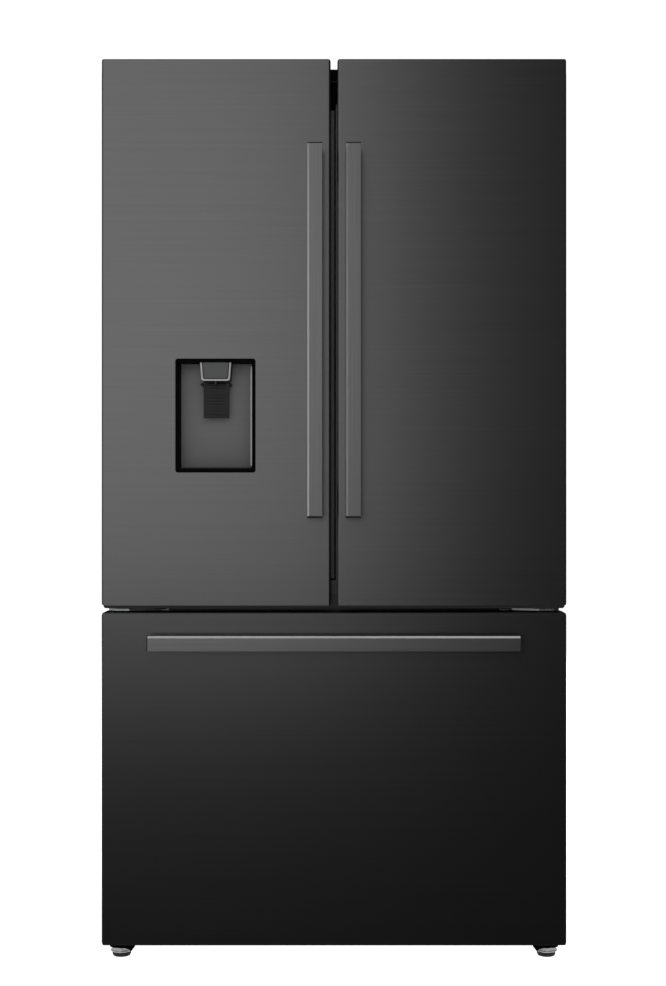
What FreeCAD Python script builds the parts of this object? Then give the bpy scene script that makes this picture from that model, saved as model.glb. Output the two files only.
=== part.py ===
import FreeCAD, Part
import math
import os

# A french door refrigerator: two doors over a pull-out freezer drawer, with a water dispenser
# in the left door. Millimetres, +Z up, the front faces -Y, and the left door is at -X.
# The origin is the middle of the whole object's footprint, on the floor.

# ---- driving dimensions ----
overall_width = 910.0          # across both doors
overall_depth = 740.0          # front of the handles to the rear cover
overall_height = 1780.0

handle_reach = 50.0            # front of a handle to the front of its door
door_thickness = 60.0
gasket_gap = 12.0              # door back to cabinet front
rear_cover_reach = 8.0         # the rear cover stands this far behind the cabinet
cabinet_inset = 4.5            # the cabinet is this much narrower than the doors, each side
top_cover_height = 25.0
top_cover_depth = 120.0
top_cover_wall = 2.5
door_gap = 13.0                # between the two doors
door_bottom = 705.5
drawer_top = 697.0
drawer_bottom = 46.0
cap_band = 5.5                 # end cap that shows below a door's steel skin
drawer_band = 1.5              # end cap that shows above and below the drawer's skin
cap_depth = 18.0
corner_radius = 4.0            # upright front edges of the doors
outline_radius = 5.0           # a door's corners, seen from the front
band_inset = 4.0               # the lower cap's band to the door's sides

sheet = 1.0                    # steel sheet
liner_wall = 2.0
rib_size = 6.0
center_rail_depth = 20.0
side_wall = 46.0               # cabinet outside to liner outside
top_wall = 43.0
back_wall = 56.0
cabinet_bottom = 30.0
freezer_floor = 115.0
freezer_ceiling = 665.0
fridge_floor = 745.0
freezer_step_y = 110.0         # rear of the deep part of the freezer
freezer_step_z = 345.0         # floor of the shallow part, over the machine compartment
machine_front = 160.0
machine_top = 288.0
clearance = 0.3                # between pieces that move past each other
pin_clearance = 0.05           # radial, a pin in its hole

hinge_from_side = 22.0         # door pivot to the door's outer side
hinge_from_front = 30.0
hinge_pin_radius = 4.0
hinge_pin_length = 16.0
hinge_leg = 17.0               # middle hinge, down the rail's face
hinge_plate = 4.0
hinge_arm_half_width = 11.0
hinge_pocket_lip = 2.0
middle_hinge_reach = 124.0     # from the door's outer side inwards

handle_width = 29.3
handle_depth = 20.0
handle_chamfer = 4.0
door_handle_from_top = 173.5
door_handle_from_bottom = 177.0
door_handle_offset = 37.2      # middle of the fridge to the middle of a door handle
drawer_handle_length = 722.0
drawer_handle_height = 640.8
handle_post_length = 60.0
handle_post_width = 18.0

dispenser_middle = 232.0       # from the middle of the fridge
dispenser_width = 157.0
dispenser_bottom = 971.0
dispenser_height = 223.0
dispenser_rim = 7.0
dispenser_depth = 50.0
recess_radius = 5.0
plate_thickness = 2.0
housing_wall = 2.0
spout_top_width = 63.0
spout_bottom_width = 58.0
spout_bottom = 1150.0
spout_depth = 34.0
paddle_width = 50.0
paddle_height = 69.0
paddle_thickness = 6.0
paddle_forward = 18.0          # paddle to the back plate
paddle_axle_radius = 2.5
tank_bottom = 1010.0
tank_height = 130.0
tank_lid = 6.0
tank_cap = 6.0
flap_left = -24.0
flap_right = 2.5
flap_thickness = 22.0
flap_pin_radius = 3.0
flap_inset = 7.0               # the flap's pin to its edge

gasket_width = 14.0
bin_depth = 95.0
bin_wall = 3.0
dyke_depth = 35.0
dyke_width = 12.0
dyke_inner = 64.0              # the inner dyke's near face, from the middle of the fridge
bin_height = 90.0
bin_least_pitch = 200.0
top_bin_room = 140.0           # over the top bin, to the ceiling
first_bin_lift = 50.0          # over the crispers
tank_to_bin = 75.5             # water tank's lid to the bin above
shelf_front = -112.0
shelf_count = 4
first_shelf_lift = 35.0        # over the crispers
glass_thickness = 4.0

foot_from_middle = 428.0
foot_from_front = 22.0         # behind the cabinet front
foot_pad_radius = 18.5
foot_pad_height = 10.5
foot_nut_radius = 22.0
foot_nut_height = 13.5
foot_stud_radius = 6.0
roller_radius = 20.0
roller_width = 16.0
roller_axle_radius = 4.0
roller_x = 428.0
roller_y = 330.0
roller_cheek = 2.5
roller_play = 1.5              # each side of a roller, between its cheeks
bracket_wall = 3.0

slide_height = 45.0
slide_width = 12.7
slide_length = 345.0
slide_bottom = 440.0
basket_depth = 340.0
basket_bottom = 135.0
basket_wall = 3.0
tray_depth = 170.0
tray_height = 110.0
crisper_height = 180.0
crisper_depth = 340.0
crisper_front = -95.0

compressor_x = 250.0
compressor_y = 255.0
compressor_radius = 82.0
compressor_height = 175.0
condenser_left = -370.0
condenser_right = -60.0
condenser_rows = 7
condenser_height = 154.0       # over the pan
inlet_x = 150.0
inlet_z = 262.0
evaporator_half = 250.0
evaporator_depth = 60.0
fin_thickness = 1.2
duct_y = 200.0
duct_wall = 3.0
fan_radius = 55.0
fan_hub_radius = 16.0
fan_depth = 22.0
fan_shaft_radius = 3.0
fan_ring_half = 75.0
fan_x = 40.0                   # condenser fan
fan_y = 255.0
fan_z = 125.0
cold_fan_z = 580.0             # evaporator fan
cold_fan_gap = 10.0            # behind the duct panel

# ---- places that follow ----
half_width = overall_width / 2
handle_front = -overall_depth / 2
door_front = handle_front + handle_reach
door_back = door_front + door_thickness
cabinet_front = door_back + gasket_gap
cabinet_back = overall_depth / 2 - rear_cover_reach
cabinet_half = half_width - cabinet_inset
cabinet_top = overall_height - top_cover_height
liner_outer = cabinet_half - side_wall
liner_inner = liner_outer - liner_wall
fridge_ceiling = cabinet_top - top_wall - liner_wall
liner_back = cabinet_back - back_wall - liner_wall
pivot_x = half_width - hinge_from_side
door_handle_bottom = door_bottom + door_handle_from_bottom
door_handle_length = overall_height - door_handle_from_top - door_handle_bottom
pivot_y = door_front + hinge_from_front
hinge_slot_half = hinge_arm_half_width + 4
door_inner = door_gap / 2
skin_bottom = door_bottom + cap_band
dyke_outer = liner_inner - 6
recess_x0 = -dispenser_middle - dispenser_width / 2
recess_x1 = recess_x0 + dispenser_width
recess_top = dispenser_bottom + dispenser_height
recess_back = door_front + dispenser_depth
paddle_front = recess_back - plate_thickness - paddle_forward - paddle_thickness
paddle_top = spout_bottom - 2
flap_front = cabinet_front - 10
flap_bottom = fridge_floor + 16
flap_top = fridge_ceiling - 16
flap_pin_x = flap_left + flap_inset
flap_pin_y = cabinet_front - 2
roller_slot_half = roller_width / 2 + roller_play + roller_cheek
foot_sleeve_radius = foot_stud_radius + 4
slide_x = liner_inner - slide_width
slide_y0 = cabinet_front + 6
slide_part = slide_width / 3
basket_x = slide_x - 8
basket_y0 = door_back + 6
tray_y0 = basket_y0 + basket_depth - tray_depth - 4
parts = "parts"

os.makedirs(parts, exist_ok=True)
V = FreeCAD.Vector
AXIS_X, AXIS_Y, AXIS_Z = V(1, 0, 0), V(0, 1, 0), V(0, 0, 1)


def box(x0, x1, y0, y1, z0, z1):
    return Part.makeBox(x1 - x0, y1 - y0, z1 - z0, V(x0, y0, z0))


def rod(radius, start, length, axis=AXIS_Z):
    return Part.makeCylinder(radius, length, V(*start), axis)


def along(shape, axis, radius, keep=None):
    """Round the straight edges that run along an axis, or only those that keep() accepts."""
    chosen = []
    for edge in shape.Edges:
        if not isinstance(edge.Curve, Part.Line):
            continue
        if abs(abs(edge.tangentAt(edge.FirstParameter).dot(axis)) - 1) > 1e-6:
            continue
        if keep is None or keep(edge.CenterOfMass):
            chosen.append(edge)
    return shape.makeFillet(radius, chosen)


def mirrored(shape):
    return shape.mirror(V(0, 0, 0), AXIS_X)


def joined(first, *rest):
    return first.fuse(list(rest)).removeSplitter()


def prism(points, vector):
    """A solid pushed from a flat outline along a vector."""
    wire = Part.makePolygon([V(*p) for p in points] + [V(*points[0])])
    return Part.Face(wire).extrude(V(*vector))


def save(name, *shapes):
    """Write every solid of the shapes as one named sub-part."""
    solids = [solid for shape in shapes for solid in shape.Solids]
    if not solids or not all(solid.isValid() for solid in solids):
        raise RuntimeError("bad solid in " + name)
    Part.makeCompound(solids).exportStep(os.path.join(parts, name + ".step"))
    print(name, len(solids))


def open_tub(x0, x1, y0, y1, z0, z1, wall, radius=8.0):
    """A tub with rounded upright corners, open at the top."""
    outer = along(box(x0, x1, y0, y1, z0, z1), AXIS_Z, radius)
    inner = along(box(x0 + wall, x1 - wall, y0 + wall, y1 - wall, z0 + wall, z1 + wall),
                  AXIS_Z, radius - wall)
    return outer.cut(inner)


# ---- cabinet ----
def cabinet_shell():
    """Folded steel: two sides and a top, with a flange turned in round the front."""
    outer = box(-cabinet_half, cabinet_half, cabinet_front, cabinet_back - sheet,
                cabinet_bottom, cabinet_top)
    inner = box(-cabinet_half + sheet, cabinet_half - sheet, cabinet_front + sheet,
                cabinet_back, cabinet_bottom - sheet, cabinet_top - sheet)
    doorway = box(-liner_outer, liner_outer, cabinet_front - sheet, cabinet_front + 2 * sheet,
                  cabinet_bottom - sheet, fridge_ceiling + liner_wall)
    return outer.cut(inner).cut(doorway)


def cabinet_back_sheet():
    return box(-cabinet_half, cabinet_half, cabinet_back - sheet, cabinet_back,
               machine_top, cabinet_top)


def cabinet_foam():
    """Foam blocks that fill the walls between the steel and the plastic liners."""
    side = cabinet_half - sheet
    front = cabinet_front + sheet
    back = cabinet_back - sheet
    low = freezer_floor - liner_wall
    blocks = []
    for sign in (-1, 1):
        x0, x1 = sorted((sign * liner_outer, sign * side))
        blocks.append(box(x0, x1, front, back, cabinet_bottom + roller_radius * 2, cabinet_top - sheet))
    ceiling = fridge_ceiling + liner_wall
    blocks.append(box(-liner_outer, liner_outer, front, back, ceiling, cabinet_top - sheet))
    rear = liner_back + liner_wall
    shelf = freezer_step_z - liner_wall
    blocks.append(box(-liner_outer, liner_outer, rear, back, shelf, ceiling))
    rail = front + center_rail_depth
    blocks.append(box(-liner_outer, liner_outer, rail, rear, freezer_ceiling + liner_wall,
                      fridge_floor - liner_wall))
    blocks.append(box(-liner_outer, liner_outer, front, machine_front, low - 40, low))
    step = freezer_step_y + liner_wall
    blocks.append(box(-liner_outer, liner_outer, step, machine_front, low, shelf))
    blocks.append(box(-liner_outer, liner_outer, machine_front, back, machine_top, shelf))
    return blocks


def lined_box(x, y0, y1, z0, z1):
    """A plastic liner, open at the front, whose inside is the given space."""
    w = liner_wall
    return box(-x - w, x + w, y0, y1 + w, z0 - w, z1 + w).cut(box(-x, x, y0 - w, y1, z0, z1))


def shelf_heights():
    first = fridge_floor + crisper_height + first_shelf_lift
    step = (fridge_ceiling - first - 30) / shelf_count
    return [first + step * index for index in range(shelf_count)]


def fridge_liner():
    front = cabinet_front + sheet
    liner = lined_box(liner_inner, front, liner_back, fridge_floor, fridge_ceiling)
    ribs = []
    for height in shelf_heights():
        for sign in (-1, 1):
            x0, x1 = sorted((sign * (liner_inner - rib_size), sign * liner_inner))
            ribs.append(box(x0, x1, shelf_front + 20, liner_back, height - rib_size, height))
    return joined(liner, *ribs)


def freezer_liner():
    front = cabinet_front + sheet
    deep = box(-liner_outer, liner_outer, front, freezer_step_y + liner_wall,
               freezer_floor - liner_wall, freezer_ceiling + liner_wall)
    shallow = box(-liner_outer, liner_outer, front, liner_back + liner_wall,
                  freezer_step_z - liner_wall, freezer_ceiling + liner_wall)
    room = box(-liner_inner, liner_inner, front - 1, freezer_step_y, freezer_floor, freezer_ceiling)
    upper = box(-liner_inner, liner_inner, front - 1, liner_back, freezer_step_z, freezer_ceiling)
    return joined(deep, shallow).cut(room).cut(upper)


def center_rail():
    """The steel rail between the two compartments; the middle hinges are screwed to it."""
    z0, z1 = freezer_ceiling + liner_wall, fridge_floor - liner_wall
    face = box(-liner_outer, liner_outer, cabinet_front, cabinet_front + sheet, z0, z1)
    back = box(-liner_outer, liner_outer, cabinet_front + sheet,
               cabinet_front + sheet + center_rail_depth, z0, z1)
    inside = box(-liner_outer + 2, liner_outer - 2, cabinet_front + sheet,
                 cabinet_front + center_rail_depth - 1, z0 + 2, z1 - 2)
    return joined(face, back).cut(inside)


def top_cover():
    """The plastic cover strip along the front of the cabinet's top, over the hinge plates."""
    wall = top_cover_wall
    outer = along(box(-cabinet_half, cabinet_half, cabinet_front, cabinet_front + top_cover_depth,
                      cabinet_top, overall_height), AXIS_X, 3.0,
                  lambda p: p.z > overall_height - 1)
    inner = box(-cabinet_half + wall, cabinet_half - wall, cabinet_front + wall,
                cabinet_front + top_cover_depth - wall, cabinet_top - 1, overall_height - wall)
    cover = outer.cut(inner)
    for sign in (-1, 1):
        x = sign * (pivot_x - 2)
        cover = cover.cut(box(x - hinge_slot_half, x + hinge_slot_half, cabinet_front - 1,
                              cabinet_front + wall + 1, cabinet_top - 1,
                              cabinet_top + hinge_plate + 1))
    return cover


def top_hinge():
    """Right-hand top hinge: a plate on the cabinet's top, an arm and a pin that points down."""
    z = cabinet_top
    arm = box(pivot_x - hinge_arm_half_width, pivot_x + hinge_arm_half_width,
              pivot_y, cabinet_front + 60, z, z + hinge_plate)
    end = rod(hinge_arm_half_width, (pivot_x, pivot_y, z), hinge_plate)
    plate = box(pivot_x - 60, pivot_x + hinge_arm_half_width, cabinet_front + 20,
                cabinet_front + 60, z, z + hinge_plate)
    pin = rod(hinge_pin_radius, (pivot_x, pivot_y, z - hinge_pin_length),
              hinge_pin_length + hinge_plate)
    screws = [rod(5, (pivot_x - x, cabinet_front + 40, z + hinge_plate), 3)
              for x in (8, 45)]
    return [joined(arm, end, plate, pin)] + screws


def middle_hinge():
    """Right-hand middle hinge: a plate under the door with a leg on the rail and a pin up."""
    z = (door_bottom + drawer_top) / 2 - hinge_plate / 2
    inner = half_width - middle_hinge_reach
    outline = [(pivot_x + hinge_arm_half_width, cabinet_front, z), (inner, cabinet_front, z),
               (inner + 22, pivot_y + 8, z), (pivot_x - 30, pivot_y - hinge_arm_half_width, z),
               (pivot_x, pivot_y - hinge_arm_half_width, z),
               (pivot_x + hinge_arm_half_width, pivot_y, z)]
    plate = prism(outline, (0, 0, hinge_plate))
    leg = box(inner, liner_outer + 20, cabinet_front - 3, cabinet_front, z - hinge_leg + hinge_plate,
              z + hinge_plate)
    pin = rod(hinge_pin_radius, (pivot_x, pivot_y, z), hinge_plate + hinge_pin_length)
    screws = [rod(3.2, (inner + x, cabinet_front - 5, z - 6), 2, AXIS_Y) for x in (14, 62)]
    return [joined(plate, leg, pin)] + screws


def base_frame():
    """The steel pan under the cabinet, with a front cross bar and side rails."""
    x = liner_outer
    side = cabinet_half - sheet
    pan = box(-side, side, cabinet_front + sheet, cabinet_back - sheet, cabinet_bottom,
              cabinet_bottom + 2)
    bar = box(-x, x, cabinet_front, cabinet_front + sheet, cabinet_bottom, freezer_floor - liner_wall)
    for sign in (-1, 1):
        pan = pan.cut(rod(foot_sleeve_radius, (sign * foot_from_middle,
                                               cabinet_front + foot_from_front,
                                               cabinet_bottom - 1), 4))
        middle = sign * roller_x
        pan = pan.cut(box(middle - roller_slot_half, middle + roller_slot_half, roller_y - 26,
                          roller_y + 26, cabinet_bottom - 1, cabinet_bottom + 3))
    return joined(pan, bar)


def support_brackets():
    """Front foot brackets and rear roller brackets, bolted under the pan's sides."""
    pieces = []
    z = cabinet_bottom
    for sign in (-1, 1):
        x, y = sign * foot_from_middle, cabinet_front + foot_from_front
        seat = box(x - 18, x + 18, y - 18, y + 22, z - bracket_wall, z)
        sleeve = rod(foot_sleeve_radius, (x, y, z), 22)
        bore = rod(foot_stud_radius + pin_clearance, (x, y, z - 5), 40)
        pieces.append(joined(seat, sleeve).cut(bore))
        for cheek in (-1, 1):
            x0 = sign * roller_x + cheek * (roller_width / 2 + roller_play)
            x0, x1 = sorted((x0, x0 + cheek * roller_cheek))
            plate = box(x0, x1, roller_y - 14, roller_y + 14, roller_radius - 12, z + 26)
            pieces.append(plate.cut(rod(roller_axle_radius, (x0 - 1, roller_y, roller_radius),
                                        roller_cheek + 2, AXIS_X)))
        pieces.append(rod(roller_axle_radius,
                          (sign * roller_x - roller_width / 2 - 5, roller_y, roller_radius),
                          roller_width + 10, AXIS_X))
    return pieces


def roller(sign):
    start = (sign * roller_x - roller_width / 2, roller_y, roller_radius)
    wheel = rod(roller_radius, start, roller_width, AXIS_X)
    bore = rod(roller_axle_radius + pin_clearance, start, roller_width, AXIS_X)
    return wheel.cut(bore)


def foot(sign):
    """A levelling foot: a pad, a hexagonal nut and a stud that runs up into the bracket."""
    x, y = sign * foot_from_middle, cabinet_front + foot_from_front
    pad = Part.makeCone(foot_pad_radius - 1.5, foot_pad_radius, foot_pad_height, V(x, y, 0))
    corners = [(x + foot_nut_radius * math.cos(math.radians(60 * k)),
                y + foot_nut_radius * math.sin(math.radians(60 * k)), foot_pad_height)
               for k in range(6)]
    nut = prism(corners, (0, 0, foot_nut_height))
    stud = rod(foot_stud_radius, (x, y, foot_pad_height), cabinet_bottom + 20 - foot_pad_height)
    return joined(pad, nut, stud)


def compressor():
    """The welded steel can with its mounting feet, grommets and service tube."""
    z = cabinet_bottom + 2 + 12
    can = rod(compressor_radius, (compressor_x, compressor_y, z), compressor_height)
    can = can.makeFillet(28, [e for e in can.Edges if isinstance(e.Curve, Part.Circle)])
    plate = box(compressor_x - 105, compressor_x + 105, compressor_y - 60, compressor_y + 60,
                z - 3, z + 3)
    plate = along(plate, AXIS_Z, 15)
    grommets = [rod(11, (compressor_x + sx * 90, compressor_y + sy * 45, cabinet_bottom + 2), 9)
                for sx in (-1, 1) for sy in (-1, 1)]
    tube = rod(4, (compressor_x - 120, compressor_y + 20, z + 60), 50, AXIS_X)
    terminal = box(compressor_x + compressor_radius - 4, compressor_x + compressor_radius + 28,
                   compressor_y - 22, compressor_y + 22, z + 60, z + 110)
    return [joined(can, plate, tube, terminal)] + grommets


def condenser():
    """A serpentine tube in three layers, held by two end plates."""
    z0, z1 = cabinet_bottom + 14, cabinet_bottom + condenser_height
    step = (z1 - z0) / condenser_rows
    y0, y1 = machine_front + 35, machine_front + 155
    tubes, plates = [], []
    for layer in range(3):
        y = y0 + 20 + layer * 40
        for row in range(condenser_rows):
            z = z0 + step * (row + 0.5)
            tubes.append(rod(3, (condenser_left + 2, y, z), condenser_right - condenser_left - 4,
                             AXIS_X))
    for x in (condenser_left, condenser_right - 2):
        plates.append(box(x, x + 2, y0, y1, cabinet_bottom + 2, z1))
    return [joined(plates[0], *(tubes + plates[1:]))]


def fan(center, axis, start_angle):
    """A hub with five pitched blades; the hub's bore takes the motor's shaft."""
    x, y, z = center
    hub = rod(fan_hub_radius, (0, 0, -fan_depth / 2), fan_depth)
    blades = []
    for index in range(5):
        blade = box(fan_hub_radius - 3, fan_radius, -1.2, 1.2, -9, 9)
        blade.rotate(V(0, 0, 0), AXIS_X, 38)
        outside = rod(fan_radius, (0, 0, -20), 40)
        blade = blade.common(outside)
        blade.rotate(V(0, 0, 0), AXIS_Z, start_angle + index * 72)
        blades.append(blade)
    bore = rod(fan_shaft_radius + pin_clearance, (0, 0, -fan_depth), fan_depth * 2)
    wheel = joined(hub, *blades).cut(bore)
    turn = FreeCAD.Rotation(AXIS_Z, axis)
    wheel.Placement = FreeCAD.Placement(V(x, y, z), turn)
    return wheel


def fan_shroud():
    """The condenser fan's ring and motor, with the shaft that carries the fan."""
    x0 = fan_x - fan_depth / 2 - 2
    half = fan_ring_half
    ring = box(x0 - 4, x0 + 22, fan_y - half, fan_y + half, cabinet_bottom + 2, fan_z + half)
    hole = rod(fan_radius + 5, (x0 - 5, fan_y, fan_z), 40, AXIS_X)
    motor_x = fan_x + fan_depth / 2 + 4
    motor = rod(20, (motor_x, fan_y, fan_z), 36, AXIS_X)
    shaft = rod(fan_shaft_radius, (fan_x - fan_depth / 2, fan_y, fan_z), fan_depth + 10, AXIS_X)
    arms = [box(motor_x + 2, motor_x + 8, fan_y - half, fan_y + half, fan_z - 6, fan_z + 6)]
    for side in (-1, 1):
        y0, y1 = sorted((fan_y + side * (half - 6), fan_y + side * half))
        arms.append(box(x0 + 20, motor_x + 8, y0, y1, fan_z - 6, fan_z + 6))
    return joined(ring.cut(hole), motor, shaft, *arms)


def machine_cover():
    """The slotted rear cover of the machine compartment, dished outwards."""
    x, z0, z1 = cabinet_half - 20, cabinet_bottom + 6, machine_top + 10
    y1 = overall_depth / 2
    outer = along(box(-x, x, cabinet_back, y1, z0, z1), AXIS_Y, 10)
    inner = box(-x + 12, x - 12, cabinet_back - 1, y1 - 2, z0 + 12, z1 - 12)
    cover = outer.cut(inner)
    slots = []
    for side in (-1, 1):
        for column in range(14):
            for row in range(2):
                cx = side * (110 + column * 20)
                cz = z0 + 75 + row * 100
                slots.append(box(cx - 4, cx + 4, y1 - 5, y1 + 1, cz - 38, cz + 38))
    return cover.cut(Part.makeCompound(slots))


def drain_pan():
    z = cabinet_bottom + condenser_height + 6
    tub = open_tub(condenser_left, condenser_right, machine_front + 20, machine_front + 170,
                   z, z + 45, 2.5)
    stays = [box(x, x + 2, machine_front + 60, machine_front + 120, z - 6, z)
             for x in (condenser_left, condenser_right - 2)]
    return joined(tub, *stays)


def electrics():
    """The control box on the top, the mains inlet on the rear cover, and the lamps."""
    y = cabinet_front + 45
    control = along(box(-150, 150, y, y + 60, cabinet_top, cabinet_top + 20), AXIS_Z, 4)
    inlet = box(inlet_x - 14, inlet_x + 14, overall_depth / 2 - 20, overall_depth / 2 - 2,
                inlet_z - 10, inlet_z + 10)
    socket = box(inlet_x - 11, inlet_x + 11, overall_depth / 2 - 14, overall_depth / 2 - 1,
                 inlet_z - 7, inlet_z + 7)
    blades = [box(inlet_x + dx - 1, inlet_x + dx + 1, overall_depth / 2 - 15,
                  overall_depth / 2 - 6, inlet_z - 3, inlet_z + 3) for dx in (-6, 0, 6)]
    lamp = box(-160, 160, shelf_front, shelf_front + 40, fridge_ceiling - 8, fridge_ceiling)
    return [control, joined(inlet.cut(socket), *blades), along(lamp, AXIS_Z, 6)]


def evaporator():
    """The finned coil behind the freezer's back panel."""
    y1 = liner_back - 5
    y0 = y1 - evaporator_depth
    z0, z1 = freezer_step_z + 12, freezer_step_z + 132
    fins = [box(x, x + fin_thickness, y0, y1, z0, z1)
            for x in [-evaporator_half + k * 25 for k in range(21)]]
    tubes = [rod(4, (-evaporator_half, y, z), 2 * evaporator_half + fin_thickness, AXIS_X)
             for y in (y0 + 15, y1 - 15) for z in (z0 + 20, z0 + 60, z0 + 100)]
    stays = [box(x, x + 6, y1, liner_back, z0 + 40, z0 + 70)
             for x in (-evaporator_half, evaporator_half + fin_thickness - 6)]
    return joined(fins[0], *(fins[1:] + tubes + stays))


def air_ducts():
    """The freezer's slotted back panel with its fan motor, and the fridge's air column."""
    x = liner_inner - clearance
    reach = fan_radius + 6
    panel = box(-x, x, duct_y, duct_y + duct_wall, freezer_step_z, freezer_ceiling - clearance)
    slots = [box(-300 + k * 60, -260 + k * 60, duct_y - 1, duct_y + 4, z, z + 8)
             for k in range(11) for z in (375, 395, 640) if z > 600 or abs(k - 5) > 0]
    panel = panel.cut(Part.makeCompound(slots))
    opening = rod(fan_radius + 4, (0, duct_y - 1, cold_fan_z), 5, AXIS_Y)
    guard = [box(-2, 2, duct_y, duct_y + duct_wall, cold_fan_z - reach, cold_fan_z + reach),
             box(-reach, reach, duct_y, duct_y + duct_wall, cold_fan_z - 2, cold_fan_z + 2)]
    fan_front = duct_y + cold_fan_gap
    motor_y = fan_front + fan_depth + 4
    motor = rod(18, (0, motor_y, cold_fan_z), liner_back - motor_y, AXIS_Y)
    shaft = rod(fan_shaft_radius, (0, fan_front, cold_fan_z), fan_depth + 6, AXIS_Y)
    column = along(box(-70, 70, liner_back - 28, liner_back, fridge_floor + 40,
                       fridge_ceiling - 60), AXIS_Z, 12, lambda p: p.y < liner_back - 1)
    vents = [box(-40, 40, liner_back - 30, liner_back - 24, z - 4, z + 4)
             for height in shelf_heights() for z in (height + 60, height + 80)]
    return [joined(panel.cut(opening), *guard), joined(motor, shaft),
            column.cut(Part.makeCompound(vents))]


def shelf_glass():
    """The glass panes: the crisper cover, one full shelf and two pairs of half shelves."""
    panes = []
    for index, height in enumerate(shelf_heights()):
        for x0, x1 in shelf_spans(index):
            panes.append(along(box(x0 + 8, x1 - 8, shelf_front + 14, liner_back - 40,
                                   height + 4, height + 4 + glass_thickness), AXIS_Z, 4))
    return panes


def shelf_spans(index):
    edge = liner_inner - 1
    if index < 2:
        return [(-edge, edge)]
    return [(-edge, -2), (2, edge)]


def shelf_trims():
    """The frame round each pane, with a deeper bar along the front."""
    frames = []
    for index, height in enumerate(shelf_heights()):
        for x0, x1 in shelf_spans(index):
            outer = box(x0, x1, shelf_front, liner_back - 30, height, height + 12)
            room = box(x0 + 14, x1 - 14, shelf_front + 20, liner_back - 46, height - 1, height + 13)
            seat = box(x0 + 8, x1 - 8, shelf_front + 14, liner_back - 40, height + 4, height + 13)
            frames.append(along(outer, AXIS_X, 4, lambda p: p.y < shelf_front + 1).cut(room).cut(seat))
    return frames


# ---- doors: built as the right-hand door, then mirrored for the left ----


def slab(x0, x1, z0, z1, inset=0.0, back=0.0):
    """A door's block with rounded front edges, made smaller all round by an inset."""
    block = box(x0 + inset, x1 - inset, door_front + inset, door_back - back, z0, z1)
    return along(block, AXIS_Z, corner_radius - inset, lambda p: p.y < door_front + inset + 1)


def outline(x0, x1, z0, z1, radius=outline_radius):
    """Everything inside a rectangle with round corners, seen from the front."""
    return along(box(x0, x1, handle_front, cabinet_back, z0, z1), AXIS_Y, radius)


def skin(x0, x1, z0, z1):
    """The steel front with its two sides; the rear edge stops short of the inner panel."""
    shell = slab(x0, x1, z0, z1, back=liner_wall).cut(slab(x0, x1, z0 - 1, z1 + 1, inset=sheet))
    return shell.common(outline(x0, x1, z0, z1))


def hinge_pocket():
    """Room in the door's top for the hinge arm, open to the rear, the side and the top."""
    inner = pivot_x - hinge_arm_half_width - 5
    return box(inner, half_width + 1, door_front + hinge_pocket_lip, door_back + 1,
               cabinet_top - 2, overall_height + 1)


def pin_hole(z0, z1):
    return rod(hinge_pin_radius + pin_clearance, (pivot_x, pivot_y, z0), z1 - z0)


def door_skin():
    return skin(door_inner, half_width, skin_bottom, overall_height).cut(hinge_pocket())


def door_caps():
    """The moulded end caps: the top one holds the hinge pocket, the lower one shows as a band."""
    top = slab(door_inner, half_width, cabinet_top - 2 - cap_depth, overall_height - 2,
               inset=sheet, back=liner_wall)
    top = top.cut(hinge_pocket()).cut(pin_hole(cabinet_top - hinge_pin_length - 1, cabinet_top))
    top = top.common(outline(door_inner, half_width, door_bottom, overall_height))
    band = slab(door_inner, half_width, door_bottom, skin_bottom, inset=0.5, back=liner_wall)
    band = band.common(outline(door_inner + band_inset, half_width - band_inset, door_bottom,
                               overall_height))
    plug = slab(door_inner, half_width, skin_bottom, skin_bottom + cap_depth, inset=sheet,
                back=liner_wall)
    plug = plug.common(outline(door_inner, half_width, skin_bottom, overall_height))
    low = joined(band, plug).cut(pin_hole(door_bottom - 1, door_bottom + hinge_pin_length))
    return [top, low]


def foam_block(x0, x1, z0, z1):
    return box(x0, x1, door_front + corner_radius, door_back - liner_wall, z0, z1)


def door_foam(z_cuts, x_cuts):
    """The door's foam core in blocks, leaving out the block between the inner cuts."""
    x0, x1 = door_inner + sheet, half_width - sheet
    z0, z1 = skin_bottom + cap_depth, cabinet_top - 2 - cap_depth
    if not z_cuts:
        return [foam_block(x0, x1, z0, z1)]
    low, high = z_cuts
    left, right = x_cuts
    return [foam_block(x0, x1, z0, low), foam_block(x0, x1, high, z1),
            foam_block(x0, left, low, high), foam_block(right, x1, low, high)]


def door_liner():
    """The door's inner panel with the two upright dykes that carry the bins."""
    panel = box(door_inner + 1, half_width - 1, door_back - liner_wall, door_back,
                skin_bottom, cabinet_top - 4)
    panel = panel.common(outline(door_inner, half_width, skin_bottom, overall_height,
                                 outline_radius + 1))
    z0, z1 = fridge_floor + 14, fridge_ceiling - 14
    dykes = []
    for x0 in (dyke_inner, dyke_outer - dyke_width):
        dyke = box(x0, x0 + dyke_width, door_back, door_back + dyke_depth, z0, z1)
        dykes.append(along(dyke, AXIS_Z, 4, lambda p: p.y > door_back + 1))
    return joined(panel, *dykes)


def ring(x0, x1, z0, z1):
    """A magnetic seal: a square-cornered frame that stands on the door's inner panel."""
    y0, y1 = door_back, cabinet_front - clearance
    w = gasket_width
    return box(x0, x1, y0, y1, z0, z1).cut(box(x0 + w, x1 - w, y0 - 1, y1 + 1, z0 + w, z1 - w))


def bin_bottoms(first):
    """Heights for as many door bins as fit from the first one up, evenly spaced."""
    last = fridge_ceiling - bin_height - top_bin_room
    count = max(1, int((last - first) // bin_least_pitch) + 1)
    if count == 1:
        return [first]
    return [first + (last - first) * index / (count - 1) for index in range(count)]


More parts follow.
